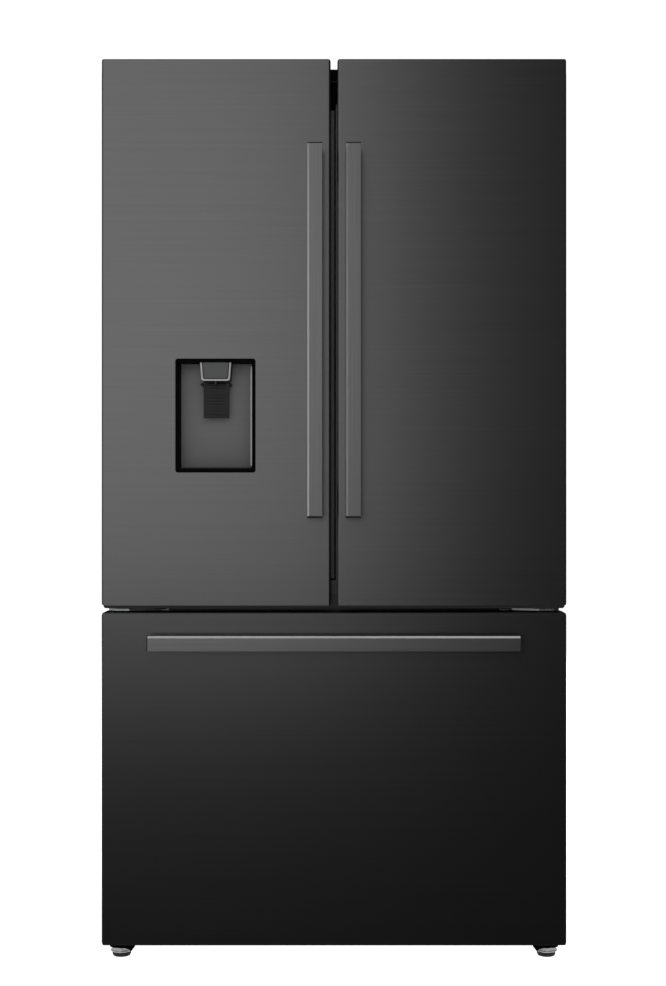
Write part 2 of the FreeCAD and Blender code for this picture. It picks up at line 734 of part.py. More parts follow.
def bins(bottoms):
    """Open tubs between the dykes, each hooked over them by a lug at both ends."""
    x0, x1 = dyke_inner + dyke_width, dyke_outer - dyke_width
    tubs = []
    for z in bottoms:
        tub = open_tub(x0, x1, door_back, door_back + bin_depth, z, z + bin_height, bin_wall)
        lugs = [box(a, b, door_back + dyke_depth, door_back + dyke_depth + 8, z + 40, z + 70)
                for a, b in ((x0 - dyke_width + 2, x0 + 1), (x1 - 1, x1 + dyke_width - 2))]
        tubs.append(joined(tub, *lugs))
    return tubs


def bar_and_posts(length, place):
    """A flat bar, bevelled along one edge, on two posts; built upright and then placed."""
    half = handle_width / 2
    bar = box(-half, half, handle_front, handle_front + handle_depth, 0, length)
    edge = [e for e in bar.Edges if abs(e.CenterOfMass.x + half) < 1e-6
            and abs(e.CenterOfMass.y - handle_front) < 1e-6]
    bar = bar.makeChamfer(handle_chamfer, edge)
    posts = [box(-handle_post_width / 2, handle_post_width / 2, handle_front + handle_depth,
                 door_front, z, z + handle_post_length)
             for z in (0, length - handle_post_length)]
    return [place(solid) for solid in [bar] + posts]


def door_handle(sign):
    move = V(sign * door_handle_offset, 0, door_handle_bottom)
    return bar_and_posts(door_handle_length, lambda solid: solid.translated(move))


def drawer_handle():
    """The same bar laid on its side, with the bevel along its upper edge."""
    def place(solid):
        turned = solid.copy()
        turned.rotate(V(0, 0, 0), AXIS_Y, 90)
        return turned.translated(V(-drawer_handle_length / 2, 0, drawer_handle_height))
    return bar_and_posts(drawer_handle_length, place)


# ---- dispenser, in the left door ----
def recess_hole():
    return along(box(recess_x0, recess_x1, door_front - 2, recess_back + housing_wall,
                     dispenser_bottom, recess_top), AXIS_Y, recess_radius)


def dispenser_housing():
    """The moulded recess: a rim flush with the steel, four walls, a back and a drip grille."""
    rim = dispenser_rim
    outer = along(box(recess_x0, recess_x1, door_front - 1, recess_back + housing_wall,
                      dispenser_bottom, recess_top), AXIS_Y, recess_radius)
    room = box(recess_x0 + rim, recess_x1 - rim, door_front - 2, recess_back,
               dispenser_bottom + rim, recess_top - rim)
    tray = box(recess_x0 + rim, recess_x1 - rim, door_front + 6, recess_back - 6,
               dispenser_bottom + rim, dispenser_bottom + rim + 3)
    slots = [box(recess_x0 + rim + 12 + k * 12, recess_x0 + rim + 17 + k * 12, door_front + 12,
                 recess_back - 12, dispenser_bottom + rim - 1, dispenser_bottom + rim + 4)
             for k in range(10)]
    return [outer.cut(room), tray.cut(Part.makeCompound(slots))]


def dispenser_plate():
    """The flat metal panel at the back of the recess."""
    rim = dispenser_rim
    return box(recess_x0 + rim, recess_x1 - rim, recess_back - plate_thickness, recess_back,
               dispenser_bottom + rim + 3, recess_top - rim)


def dispenser_spout():
    """The water outlet that hangs from the recess's ceiling, with its nozzle."""
    top = recess_top - dispenser_rim
    y0 = door_front + 4
    half_top, half_low = spout_top_width / 2, spout_bottom_width / 2
    outline = [(-dispenser_middle - half_top, y0, top), (-dispenser_middle + half_top, y0, top),
               (-dispenser_middle + half_low, y0, spout_bottom),
               (-dispenser_middle - half_low, y0, spout_bottom)]
    body = prism(outline, (0, spout_depth, 0))
    body = along(body, AXIS_Y, 4, lambda p: p.z < spout_bottom + 1)
    nozzle = rod(4, (-dispenser_middle, y0 + 10, spout_bottom - 6), 10)
    return joined(body, nozzle)


def dispenser_paddle():
    """The hinged lever that a glass pushes back, with two pins at its top."""
    x0 = -dispenser_middle - paddle_width / 2
    z0 = paddle_top - paddle_height
    blade = box(x0, x0 + paddle_width, paddle_front, paddle_front + paddle_thickness, z0, paddle_top)
    blade = along(blade, AXIS_Y, 6, lambda p: p.z < z0 + 1)
    dish = rod(90, (-dispenser_middle, paddle_front - 86.5, z0 + 4), paddle_height - 12)
    ribs = [box(x0 + 6, x0 + paddle_width - 6, paddle_front + 0.6, paddle_front + 4, z, z + 1.4)
            for z in [z0 + 10 + 8 * k for k in range(6)]]
    axle = rod(paddle_axle_radius, (x0 - 6, paddle_front + paddle_thickness / 2, paddle_top - 3),
               paddle_width + 12, AXIS_X)
    return joined(blade.cut(dish), axle, *ribs)


def paddle_ears():
    """Two ears on the back plate that carry the paddle's pins."""
    ears = []
    y = paddle_front + paddle_thickness / 2
    for sign in (-1, 1):
        x = -dispenser_middle + sign * (paddle_width / 2 + 1)
        x0, x1 = sorted((x, x + sign * 4))
        ear = box(x0, x1, y - 6, recess_back - plate_thickness, paddle_top - 9, paddle_top + 1)
        hole = rod(paddle_axle_radius + pin_clearance, (x0 - 1, y, paddle_top - 3), 6, AXIS_X)
        ears.append(ear.cut(hole))
    return ears


def water_tank():
    """The lidded water tank behind the dispenser, hooked between the door's dykes."""
    x0, x1 = -(dyke_outer - dyke_width), -(dyke_inner + dyke_width)
    top = tank_bottom + tank_height
    tub = open_tub(x0, x1, door_back, door_back + bin_depth, tank_bottom, top, bin_wall)
    lid = along(box(x0, x1, door_back, door_back + bin_depth, top, top + tank_lid), AXIS_Z, 8)
    cap = rod(22, (x0 + 60, door_back + bin_depth / 2, top + tank_lid), tank_cap)
    return [tub, joined(lid, cap)]


def mullion_flap():
    """The heated sealing bar on the left door that closes the gap between the doors."""
    bar = box(flap_left, flap_right, flap_front, flap_front + flap_thickness, flap_bottom, flap_top)
    bar = along(bar, AXIS_Z, 3)
    pin = rod(flap_pin_radius, (flap_pin_x, flap_pin_y, flap_bottom - 12),
              flap_top - flap_bottom + 24)
    return joined(bar, pin)


def flap_brackets():
    """Two dark brackets on the left door's panel that carry the flap's pins."""
    pieces = []
    for z in (flap_bottom - 12, flap_top + 2):
        arm = box(flap_left - 6, flap_left + 15, door_back, flap_pin_y + 7, z, z + 10)
        pieces.append(arm.cut(rod(flap_pin_radius + pin_clearance,
                                  (flap_pin_x, flap_pin_y, z - 1), 12)))
    return pieces


# ---- freezer drawer ----
def drawer_skin():
    return skin(-half_width, half_width, drawer_bottom + drawer_band, drawer_top - drawer_band)


def drawer_caps():
    pieces = []
    for z0, z1, z2, z3 in ((drawer_bottom, drawer_bottom + drawer_band, drawer_bottom + drawer_band,
                            drawer_bottom + cap_depth),
                           (drawer_top - drawer_band, drawer_top, drawer_top - cap_depth,
                            drawer_top - drawer_band)):
        band = slab(-half_width, half_width, z0, z1, inset=0.5, back=liner_wall)
        plug = slab(-half_width, half_width, z2, z3, inset=sheet, back=liner_wall)
        pieces.append(joined(band, plug).common(outline(-half_width, half_width, drawer_bottom,
                                                        drawer_top)))
    return pieces


def drawer_liner():
    panel = box(-half_width + 1, half_width - 1, door_back - liner_wall, door_back,
                drawer_bottom, drawer_top)
    return panel.common(outline(-half_width, half_width, drawer_bottom, drawer_top,
                                outline_radius + 1))


def drawer_foam():
    return foam_block(-half_width + sheet, half_width - sheet, drawer_bottom + cap_depth,
                      drawer_top - cap_depth)


def slide_member(sign, index, y0):
    """One of the three nested bars of a slide, counted from the cabinet's wall."""
    gap = clearance if index else 0
    x0, x1 = sorted((sign * (liner_inner - slide_part * index - gap),
                     sign * (liner_inner - slide_part * (index + 1))))
    return box(x0, x1, y0, slide_y0 + slide_length, slide_bottom, slide_bottom + slide_height)


def freezer_slides():
    return [slide_member(sign, 0, slide_y0) for sign in (-1, 1)]


def middle_slides():
    return [slide_member(sign, 1, slide_y0) for sign in (-1, 1)]


def drawer_runners():
    """The moving slide bars, with the brackets that join them to the drawer's front."""
    pieces = []
    for sign in (-1, 1):
        bar = slide_member(sign, 2, door_back)
        x0, x1 = sorted((sign * slide_x, sign * (slide_x - 34)))
        foot_plate = box(x0, x1, door_back, door_back + 3, slide_bottom - 60, slide_bottom + 90)
        shelf = box(x0, x1, door_back, slide_y0 + slide_length, slide_bottom - 4, slide_bottom)
        x2, x3 = sorted((sign * slide_x, sign * (slide_x + slide_part)))
        web = box(x2, x3, door_back, slide_y0 + slide_length, slide_bottom - 4, slide_bottom)
        pieces.append(joined(bar, foot_plate, shelf, web))
    return pieces


def freezer_basket():
    """The deep basket, slotted at the front and hung by its rim on the runners."""
    y1 = basket_y0 + basket_depth
    top = slide_bottom + 8
    tub = open_tub(-basket_x + 30, basket_x - 30, basket_y0, y1, basket_bottom, top, basket_wall)
    rim = box(-basket_x, basket_x, basket_y0, y1, slide_bottom, slide_bottom + 4)
    room = box(-basket_x + 31, basket_x - 31, basket_y0 + 2, y1 - 2, slide_bottom - 1, slide_bottom + 5)
    basket = joined(tub, rim.cut(room))
    slots = [box(-basket_x + 70 + k * 34, -basket_x + 90 + k * 34, basket_y0 - 1, basket_y0 + 5,
                 basket_bottom + 60, basket_bottom + 220) for k in range(19)]
    return basket.cut(Part.makeCompound(slots))


def freezer_tray():
    """The half-depth tray that slides along the basket's rim."""
    z = slide_bottom + 8 + clearance
    return open_tub(-basket_x + 24, basket_x - 24, tray_y0, tray_y0 + tray_depth, z,
                    z + tray_height, basket_wall)


def crisper(sign):
    """A vegetable drawer with a pull along its front edge."""
    edge = liner_inner - 4
    x0, x1 = sorted((sign * 4, sign * edge))
    z0 = fridge_floor + clearance
    tub = open_tub(x0, x1, crisper_front, crisper_front + crisper_depth, z0, z0 + crisper_height,
                   3.0)
    pull = box(x0 + 12, x1 - 12, crisper_front - 14, crisper_front, z0 + crisper_height - 22,
               z0 + crisper_height - 6)
    return joined(tub, along(pull, AXIS_X, 4, lambda p: p.y < crisper_front - 13))


def main():
    save("cabinet_shell", cabinet_shell())
    save("cabinet_back", cabinet_back_sheet())
    save("cabinet_foam", *cabinet_foam())
    save("fridge_liner", fridge_liner())
    save("freezer_liner", freezer_liner())
    save("center_rail", center_rail())
    save("top_cover", top_cover())
    save("top_hinges", *top_hinge(), *[mirrored(s) for s in top_hinge()])
    save("middle_hinges", *middle_hinge(), *[mirrored(s) for s in middle_hinge()])
    save("base_frame", base_frame())
    save("support_brackets", *support_brackets())
    save("foot_left", foot(-1))
    save("foot_right", foot(1))
    save("roller_left", roller(-1))
    save("roller_right", roller(1))
    save("compressor", *compressor())
    save("condenser", *condenser())
    save("fan_shroud", fan_shroud())
    save("condenser_fan", fan((fan_x, fan_y, fan_z), AXIS_X, 10))
    save("machine_cover", machine_cover())
    save("drain_pan", drain_pan())
    save("electrics", *electrics())
    save("evaporator", evaporator())
    save("air_ducts", *air_ducts())
    save("evaporator_fan", fan((0, duct_y + cold_fan_gap + fan_depth / 2, cold_fan_z), AXIS_Y, 25))
    save("shelf_glass", *shelf_glass())
    save("shelf_trims", *shelf_trims())
    save("crisper_left", crisper(-1))
    save("crisper_right", crisper(1))

    hole_z = (dispenser_bottom - 1, recess_top + 1)
    hole_x = (dispenser_middle - dispenser_width / 2 - 1, dispenser_middle + dispenser_width / 2 + 1)
    right_bins = bin_bottoms(fridge_floor + crisper_height + first_bin_lift)
    left_bins = bin_bottoms(tank_bottom + tank_height + tank_lid + tank_cap + tank_to_bin)
    save("right_door_skin", door_skin())
    save("right_door_caps", *door_caps())
    save("right_door_foam", *door_foam(None, None))
    save("right_door_liner", door_liner())
    save("right_door_gasket", ring(8, pivot_x - 1, fridge_floor - 30, fridge_ceiling + 30))
    save("right_door_bins", *bins(right_bins))
    save("right_handle", *door_handle(1))
    save("left_door_skin", mirrored(door_skin()).cut(recess_hole()))
    save("left_door_caps", *[mirrored(s) for s in door_caps()], *flap_brackets())
    save("left_door_foam", *[mirrored(s) for s in door_foam(hole_z, hole_x)])
    save("left_door_liner", mirrored(door_liner()))
    save("left_door_gasket", ring(1 - pivot_x, -46, fridge_floor - 30, fridge_ceiling + 30))
    save("left_door_bins", *[mirrored(s) for s in bins(left_bins)])
    save("left_handle", *door_handle(-1))
    save("dispenser_housing", *dispenser_housing())
    save("dispenser_plate", dispenser_plate(), *paddle_ears())
    save("dispenser_spout", dispenser_spout())
    save("dispenser_paddle", dispenser_paddle())
    save("water_tank", *water_tank())
    save("mullion_flap", mullion_flap())

    save("drawer_skin", drawer_skin())
    save("drawer_caps", *drawer_caps())
    save("drawer_foam", drawer_foam())
    save("drawer_liner", drawer_liner())
    save("drawer_gasket", ring(1 - pivot_x, pivot_x - 1, freezer_floor - 30, freezer_ceiling + 18))
    save("drawer_handle", *drawer_handle())
    save("drawer_runners", *drawer_runners())
    save("middle_slides", *middle_slides())
    save("freezer_slides", *freezer_slides())
    save("freezer_basket", freezer_basket())
    save("freezer_tray", freezer_tray())


main()
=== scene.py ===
import math

import bmesh
import bpy
from mathutils import Matrix, Vector


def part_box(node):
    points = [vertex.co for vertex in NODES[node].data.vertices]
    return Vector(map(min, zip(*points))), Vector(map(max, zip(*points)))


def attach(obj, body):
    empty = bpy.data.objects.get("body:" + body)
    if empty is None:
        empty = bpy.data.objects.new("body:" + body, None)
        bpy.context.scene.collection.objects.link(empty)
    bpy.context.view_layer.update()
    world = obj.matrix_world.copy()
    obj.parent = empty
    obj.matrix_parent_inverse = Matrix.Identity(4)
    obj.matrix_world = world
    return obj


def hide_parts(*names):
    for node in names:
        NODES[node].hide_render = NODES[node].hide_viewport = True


bl_info = {
    "name": "French Door Refrigerator",
    "version": (1, 0, 0),
    "blender": (4, 5, 0),
    "location": "View3D > Sidebar > Refrigerator",
    "description": "Builds the finished surfaces of a refrigerator around its frame",
    "category": "Add Mesh",
}

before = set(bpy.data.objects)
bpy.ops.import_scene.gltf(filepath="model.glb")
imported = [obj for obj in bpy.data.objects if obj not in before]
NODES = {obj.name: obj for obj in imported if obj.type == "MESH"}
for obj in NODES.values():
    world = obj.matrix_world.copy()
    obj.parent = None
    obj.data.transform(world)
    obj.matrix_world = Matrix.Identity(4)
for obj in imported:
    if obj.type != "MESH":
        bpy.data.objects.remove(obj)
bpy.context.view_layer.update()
MM = 0.001


# ---- sizes and colours that a user would change ----
class RefrigeratorFinish(bpy.types.PropertyGroup):
    steel_color: bpy.props.FloatVectorProperty(
        name="Steel", description="Colour of the dark brushed steel on the doors",
        default=(0.155, 0.156, 0.155), subtype="COLOR", size=3, min=0.0, max=1.0)
    handle_color: bpy.props.FloatVectorProperty(
        name="Handles", description="Colour of the brushed handle bars",
        default=(0.22, 0.22, 0.22), subtype="COLOR", size=3, min=0.0, max=1.0)
    trim_color: bpy.props.FloatVectorProperty(
        name="Trim", description="Colour of the black moulded trim",
        default=(0.008, 0.008, 0.009), subtype="COLOR", size=3, min=0.0, max=1.0)
    liner_color: bpy.props.FloatVectorProperty(
        name="Liner", description="Colour of the white plastic inside",
        default=(0.80, 0.81, 0.82), subtype="COLOR", size=3, min=0.0, max=1.0)
    cabinet_color: bpy.props.FloatVectorProperty(
        name="Cabinet", description="Colour of the painted cabinet sides",
        default=(0.030, 0.030, 0.031), subtype="COLOR", size=3, min=0.0, max=1.0)


class RefrigeratorSizes(bpy.types.PropertyGroup):
    # The handle bevel faces the lamps; its brighter metal is a painted highlight
    bevel_face: bpy.props.FloatProperty(
        name="Handle Bevel", description="Width of the bright bevel along a handle",
        default=0.004, min=0.001, max=0.008, unit="LENGTH")
    seal_lip: bpy.props.FloatProperty(
        name="Seal Lip", description="Depth of the folds in the magnetic seals",
        default=0.0022, min=0.0005, max=0.004, unit="LENGTH")
    trim_line: bpy.props.FloatProperty(
        name="Spout Trim", description="Width of the bright line round the spout",
        default=0.0035, min=0.001, max=0.006, unit="LENGTH")
    camera_distance: bpy.props.FloatProperty(
        name="Camera Distance", description="Camera to the front of the doors",
        default=3.0, min=1.0, max=10.0, unit="LENGTH")
    camera_height: bpy.props.FloatProperty(
        name="Camera Height", description="Height of the camera over the floor",
        default=0.931, min=0.1, max=3.0, unit="LENGTH")


def finish():
    return bpy.context.scene.refrigerator_finish


def sizes():
    return bpy.context.scene.refrigerator_sizes


# ---- materials ----
def new_material(name, **sockets):
    """A material with its shader; constant values are set on the shader's own sockets."""
    material = bpy.data.materials.new(name)
    material.use_nodes = True
    shader = material.node_tree.nodes["Principled BSDF"]
    for socket, value in sockets.items():
        shader.inputs[socket.replace("_", " ")].default_value = value
    return material, material.node_tree, shader


def rgba(color, scale=1.0):
    return (color[0] * scale, color[1] * scale, color[2] * scale, 1.0)


def noise(tree, scale, stretch=(1.0, 1.0, 1.0), detail=4.0, roughness=0.55):
    """Noise on object coordinates, stretched along some axes."""
    coords = tree.nodes.new("ShaderNodeTexCoord")
    mapping = tree.nodes.new("ShaderNodeMapping")
    mapping.inputs["Scale"].default_value = stretch
    texture = tree.nodes.new("ShaderNodeTexNoise")
    texture.inputs["Scale"].default_value = scale
    texture.inputs["Detail"].default_value = detail
    texture.inputs["Roughness"].default_value = roughness
    tree.links.new(coords.outputs["Object"], mapping.inputs["Vector"])
    tree.links.new(mapping.outputs["Vector"], texture.inputs["Vector"])
    return texture.outputs["Fac"]


def cells(tree, scale, feature="F1"):
    coords = tree.nodes.new("ShaderNodeTexCoord")
    texture = tree.nodes.new("ShaderNodeTexVoronoi")
    texture.feature = feature
    texture.inputs["Scale"].default_value = scale
    tree.links.new(coords.outputs["Object"], texture.inputs["Vector"])
    return texture.outputs["Color" if feature == "F1" else "Distance"]


def ramp(tree, source, low, high, start=0.0, end=1.0):
    """Colours between two ends, as the source goes from start to end."""
    node = tree.nodes.new("ShaderNodeValToRGB")
    node.color_ramp.elements[0].position = start
    node.color_ramp.elements[1].position = end
    node.color_ramp.elements[0].color = low
    node.color_ramp.elements[1].color = high
    tree.links.new(source, node.inputs["Fac"])
    return node.outputs["Color"]


def remap(tree, source, low, high):
    node = tree.nodes.new("ShaderNodeMapRange")
    node.inputs["To Min"].default_value = low
    node.inputs["To Max"].default_value = high
    tree.links.new(source, node.inputs["Value"])
    return node.outputs["Result"]


def bump(tree, shader, source, strength, distance):
    node = tree.nodes.new("ShaderNodeBump")
    node.inputs["Strength"].default_value = strength
    node.inputs["Distance"].default_value = distance
    tree.links.new(source, node.inputs["Height"])
    tree.links.new(node.outputs["Normal"], shader.inputs["Normal"])


def brushed(name, color, rough=(0.34, 0.46), stretch=(2.0, 60.0, 900.0), spread=0.10, grain=0.10,
            metal=1.0):
    """Brushed metal: fine lines along one axis, in colour, roughness and height."""
    material, tree, shader = new_material(name, Metallic=metal)
    lines = noise(tree, 1.0, stretch, detail=6.0, roughness=0.7)
    broad = noise(tree, 1.6, (1.0, 1.0, 1.0), detail=2.0)
    mix = tree.nodes.new("ShaderNodeMix")
    mix.data_type = "RGBA"
    mix.blend_type = "MULTIPLY"
    mix.inputs["Factor"].default_value = 1.0
    low, high = 1.0 - spread, 1.0 + spread
    streaks = ramp(tree, lines, rgba(color, low), rgba(color, high), 0.3, 0.7)
    clouds = ramp(tree, broad, (0.95, 0.95, 0.95, 1.0), (1.0, 1.0, 1.0, 1.0), 0.3, 0.7)
    tree.links.new(streaks, mix.inputs["A"])
    tree.links.new(clouds, mix.inputs["B"])
    tree.links.new(mix.outputs["Result"], shader.inputs["Base Color"])
    tree.links.new(remap(tree, lines, *rough), shader.inputs["Roughness"])
    bump(tree, shader, lines, grain, 0.0002)
    return material


def moulded(name, color, rough=(0.42, 0.58), grain_scale=900.0, grain=0.12, **sockets):
    """Moulded plastic with a fine spark-eroded grain and slight flow marks."""
    material, tree, shader = new_material(name, **sockets)
    fine = noise(tree, grain_scale, detail=2.0)
    broad = noise(tree, 7.0, detail=3.0)
    tree.links.new(ramp(tree, broad, rgba(color, 0.90), rgba(color, 1.08), 0.3, 0.7),
                   shader.inputs["Base Color"])
    tree.links.new(remap(tree, broad, *rough), shader.inputs["Roughness"])
    bump(tree, shader, fine, grain, 0.0001)
    return material


def painted(name, color, rough=(0.30, 0.42), peel_scale=260.0):
    """Sprayed paint on steel, with a little orange peel under a thin clear layer."""
    material, tree, shader = new_material(name, Coat_Weight=0.25, Coat_Roughness=0.25)
    peel = noise(tree, peel_scale, detail=2.0)
    broad = noise(tree, 2.2, detail=3.0)
    tree.links.new(ramp(tree, broad, rgba(color, 0.93), rgba(color, 1.06), 0.3, 0.7),
                   shader.inputs["Base Color"])
    tree.links.new(remap(tree, broad, *rough), shader.inputs["Roughness"])
    bump(tree, shader, peel, 0.15, 0.0002)
    return material


def zinc(name, color, scale=70.0):
    """Galvanised sheet with its spangle of crystals."""
    material, tree, shader = new_material(name, Metallic=1.0)
    spangle = cells(tree, scale)
    tree.links.new(ramp(tree, spangle, rgba(color, 0.82), rgba(color, 1.12), 0.1, 0.9),
                   shader.inputs["Base Color"])
    tree.links.new(remap(tree, spangle, 0.30, 0.52), shader.inputs["Roughness"])
    bump(tree, shader, noise(tree, 500.0), 0.08, 0.0001)
    return material


def clear(name, color, rough=0.06, weight=0.92):
    """Clear glass or moulded clear plastic, with faint waviness."""
    material, tree, shader = new_material(name, IOR=1.49, Transmission_Weight=weight)
    shader.inputs["Base Color"].default_value = rgba(color)
    wave = noise(tree, 9.0, detail=2.0)
    tree.links.new(remap(tree, wave, rough * 0.7, rough * 1.5), shader.inputs["Roughness"])
    bump(tree, shader, wave, 0.05, 0.0005)
    return material


def rubber(name, color):
    """Soft matt rubber with a faint dusty bloom."""
    material, tree, shader = new_material(name, Sheen_Weight=0.15, Sheen_Roughness=0.6)
    bloom = noise(tree, 30.0, detail=5.0)
    tree.links.new(ramp(tree, bloom, rgba(color, 0.85), rgba(color, 1.25), 0.35, 0.75),
                   shader.inputs["Base Color"])
    tree.links.new(remap(tree, bloom, 0.62, 0.80), shader.inputs["Roughness"])
    bump(tree, shader, noise(tree, 1200.0), 0.15, 0.0001)
    return material


def foamed(name, color):
    """Rigid foam with open cells where it is cut."""
    material, tree, shader = new_material(name, Roughness=0.9)
    pores = cells(tree, 700.0, "DISTANCE_TO_EDGE")
    tree.links.new(ramp(tree, pores, rgba(color, 0.7), rgba(color, 1.0), 0.0, 0.25),
                   shader.inputs["Base Color"])
    bump(tree, shader, pores, 0.5, 0.0006)
    return material


def lamp_lens(name):
    material, tree, shader = new_material(name, Emission_Strength=0.6)
    ribs = noise(tree, 1.0, (220.0, 2.0, 2.0), detail=1.0)
    tree.links.new(ramp(tree, ribs, (0.80, 0.84, 0.88, 1), (0.95, 0.97, 1.0, 1), 0.3, 0.7),
                   shader.inputs["Base Color"])
    shader.inputs["Emission Color"].default_value = (0.9, 0.95, 1.0, 1.0)
    tree.links.new(remap(tree, ribs, 0.25, 0.4), shader.inputs["Roughness"])
    bump(tree, shader, ribs, 0.3, 0.0006)
    return material


def make_materials():
    look = finish()
    steel, bar = tuple(look.steel_color), tuple(look.handle_color)
    black, white = tuple(look.trim_color), tuple(look.liner_color)
    return {
        "door_steel": brushed("door_steel", steel, rough=(0.26, 0.34)),
        # The drawer's steel is the door steel darkened to four fifths: painted shade
        "drawer_steel_painted_shade": brushed("drawer_steel_painted_shade", tuple(0.8 * part for part in steel),
                                rough=(0.28, 0.37)),
        "nut_steel": brushed("nut_steel", (0.70, 0.70, 0.71), stretch=(60.0, 60.0, 900.0),
                             metal=0.3),
        "handle_bar_upright": brushed("handle_bar_upright", bar, stretch=(900.0, 60.0, 3.0),
                                      rough=(0.30, 0.42), spread=0.16, grain=0.2),
        # The level bar is the upright bars' metal made 15% lighter: painted light for its darker
        # reflections low down
        "handle_bar_level_painted_light": brushed("handle_bar_level_painted_light", tuple(1.15 * part for part in bar),
                                    rough=(0.30, 0.42), spread=0.16,
                                    stretch=(3.0, 60.0, 900.0), grain=0.2),
        # Near-black with almost no reflection, for the top cover, the dispenser recess, the flap
        # guide and the foot guards: partly the black plastic's own colour, partly painted shade
        "black_with_painted_shade": moulded("black_with_painted_shade", (0.0012, 0.0012, 0.0012), rough=(0.5, 0.6),
                                Specular_IOR_Level=0.03),
        "flap_paint": painted("flap_paint", (0.035, 0.036, 0.036)),
        # Brighter metal: the spout trim's own colour, and a painted highlight on the handle bevels
        # and on the plate's right edge
        "trim_and_painted_highlight": brushed("trim_and_painted_highlight", (0.42, 0.42, 0.42), rough=(0.30, 0.40)),
        "recess_plate": brushed("recess_plate", (0.098, 0.098, 0.097), rough=(0.34, 0.44),
                                metal=0.2),
        "cabinet_paint": painted("cabinet_paint", tuple(look.cabinet_color)),
        "black_paint": painted("black_paint", (0.012, 0.012, 0.012)),
        "zinc_sheet": zinc("zinc_sheet", (0.52, 0.54, 0.56)),
        "hinge_steel": zinc("hinge_steel", (0.55, 0.56, 0.57), scale=400.0),
        "black_plastic": moulded("black_plastic", black),
        "gloss_black": moulded("gloss_black", black, rough=(0.12, 0.2), grain=0.02),
        "dark_plastic": moulded("dark_plastic", (0.012, 0.012, 0.012), Specular_IOR_Level=0.2),
        "spout_face": moulded("spout_face", (0.040, 0.041, 0.042), rough=(0.28, 0.36), grain=0.05),
        "white_plastic": moulded("white_plastic", white, rough=(0.22, 0.32), grain=0.05),
        "grey_plastic": moulded("grey_plastic", (0.30, 0.31, 0.33)),
        "clear_plastic": clear("clear_plastic", (0.90, 0.94, 0.97), rough=0.10),
        "shelf_glass": clear("shelf_glass", (0.86, 0.95, 0.92), rough=0.03),
        "foam": foamed("foam", (0.72, 0.62, 0.38)),
        "seal_rubber": rubber("seal_rubber", (0.035, 0.035, 0.036)),
        "tyre_rubber": rubber("tyre_rubber", (0.014, 0.014, 0.014)),
        "aluminium_fins": zinc("aluminium_fins", (0.80, 0.81, 0.83), scale=900.0),
        "copper": brushed("copper", (0.70, 0.36, 0.22), stretch=(80.0, 80.0, 80.0)),
        "lamp_lens": lamp_lens("lamp_lens"),
    }


MATERIALS = {}


def material(name):
    """The finished material of that name; all are made the first time one is asked for."""
    if not MATERIALS:
        MATERIALS.update(make_materials())
    return MATERIALS[name]


def paint_node(node, name):
    """Give a carried-over node a finished material."""
    slots = NODES[node].data.materials
    if len(slots) == 0:
        slots.append(material(name))
    for index in range(len(slots)):
        slots[index] = material(name)


# ---- mesh tools ----
def round_edges(bm, edges, offset, segments=2):
    bmesh.ops.bevel(bm, geom=list(edges), offset=offset, segments=segments, profile=0.5,
                    affect="EDGES", material=-1, clamp_overlap=True)


def add_box(bm, low, high, bevel=0.0, segments=2):
    """A box between two corners, with its edges rounded."""
    low, high = Vector(low), Vector(high)
    middle, size = (low + high) / 2, high - low
    made = bmesh.ops.create_cube(bm, size=1.0)
    verts = made["verts"]
    bmesh.ops.scale(bm, vec=size, verts=verts)
    bmesh.ops.translate(bm, vec=middle, verts=verts)
    if bevel > 0:
        round_edges(bm, {edge for vert in verts for edge in vert.link_edges}, bevel, segments)
    return verts


def add_rod(bm, radius, start, end, segments=32, end_radius=None, bevel=0.0):
    """A round bar between two points, which may taper."""
    start, end = Vector(start), Vector(end)
    turn = (end - start).to_track_quat("Z", "Y").to_matrix().to_4x4()
    place = Matrix.Translation((start + end) / 2) @ turn
    tip = radius if end_radius is None else end_radius
    made = bmesh.ops.create_cone(bm, cap_ends=True, segments=segments, radius1=radius,
                                 radius2=tip, depth=(end - start).length, matrix=place)
    if bevel > 0:
        rims = [edge for edge in {e for v in made["verts"] for e in v.link_edges}
                if any(len(face.verts) > 4 for face in edge.link_faces)]
        round_edges(bm, rims, bevel)
    return made["verts"]


def add_outline(bm, points, push, bevel=0.0, segments=2):
    """A solid pushed from a flat outline."""
    verts = [bm.verts.new(point) for point in points]
    face = bm.faces.new(verts)
    pushed = bmesh.ops.extrude_face_region(bm, geom=[face])["geom"]
    moved = [item for item in pushed if isinstance(item, bmesh.types.BMVert)]
    bmesh.ops.translate(bm, vec=push, verts=moved)
    if bevel > 0:
        edges = {edge for vert in verts + moved for edge in vert.link_edges}
        round_edges(bm, edges, bevel, segments)
    return verts + moved


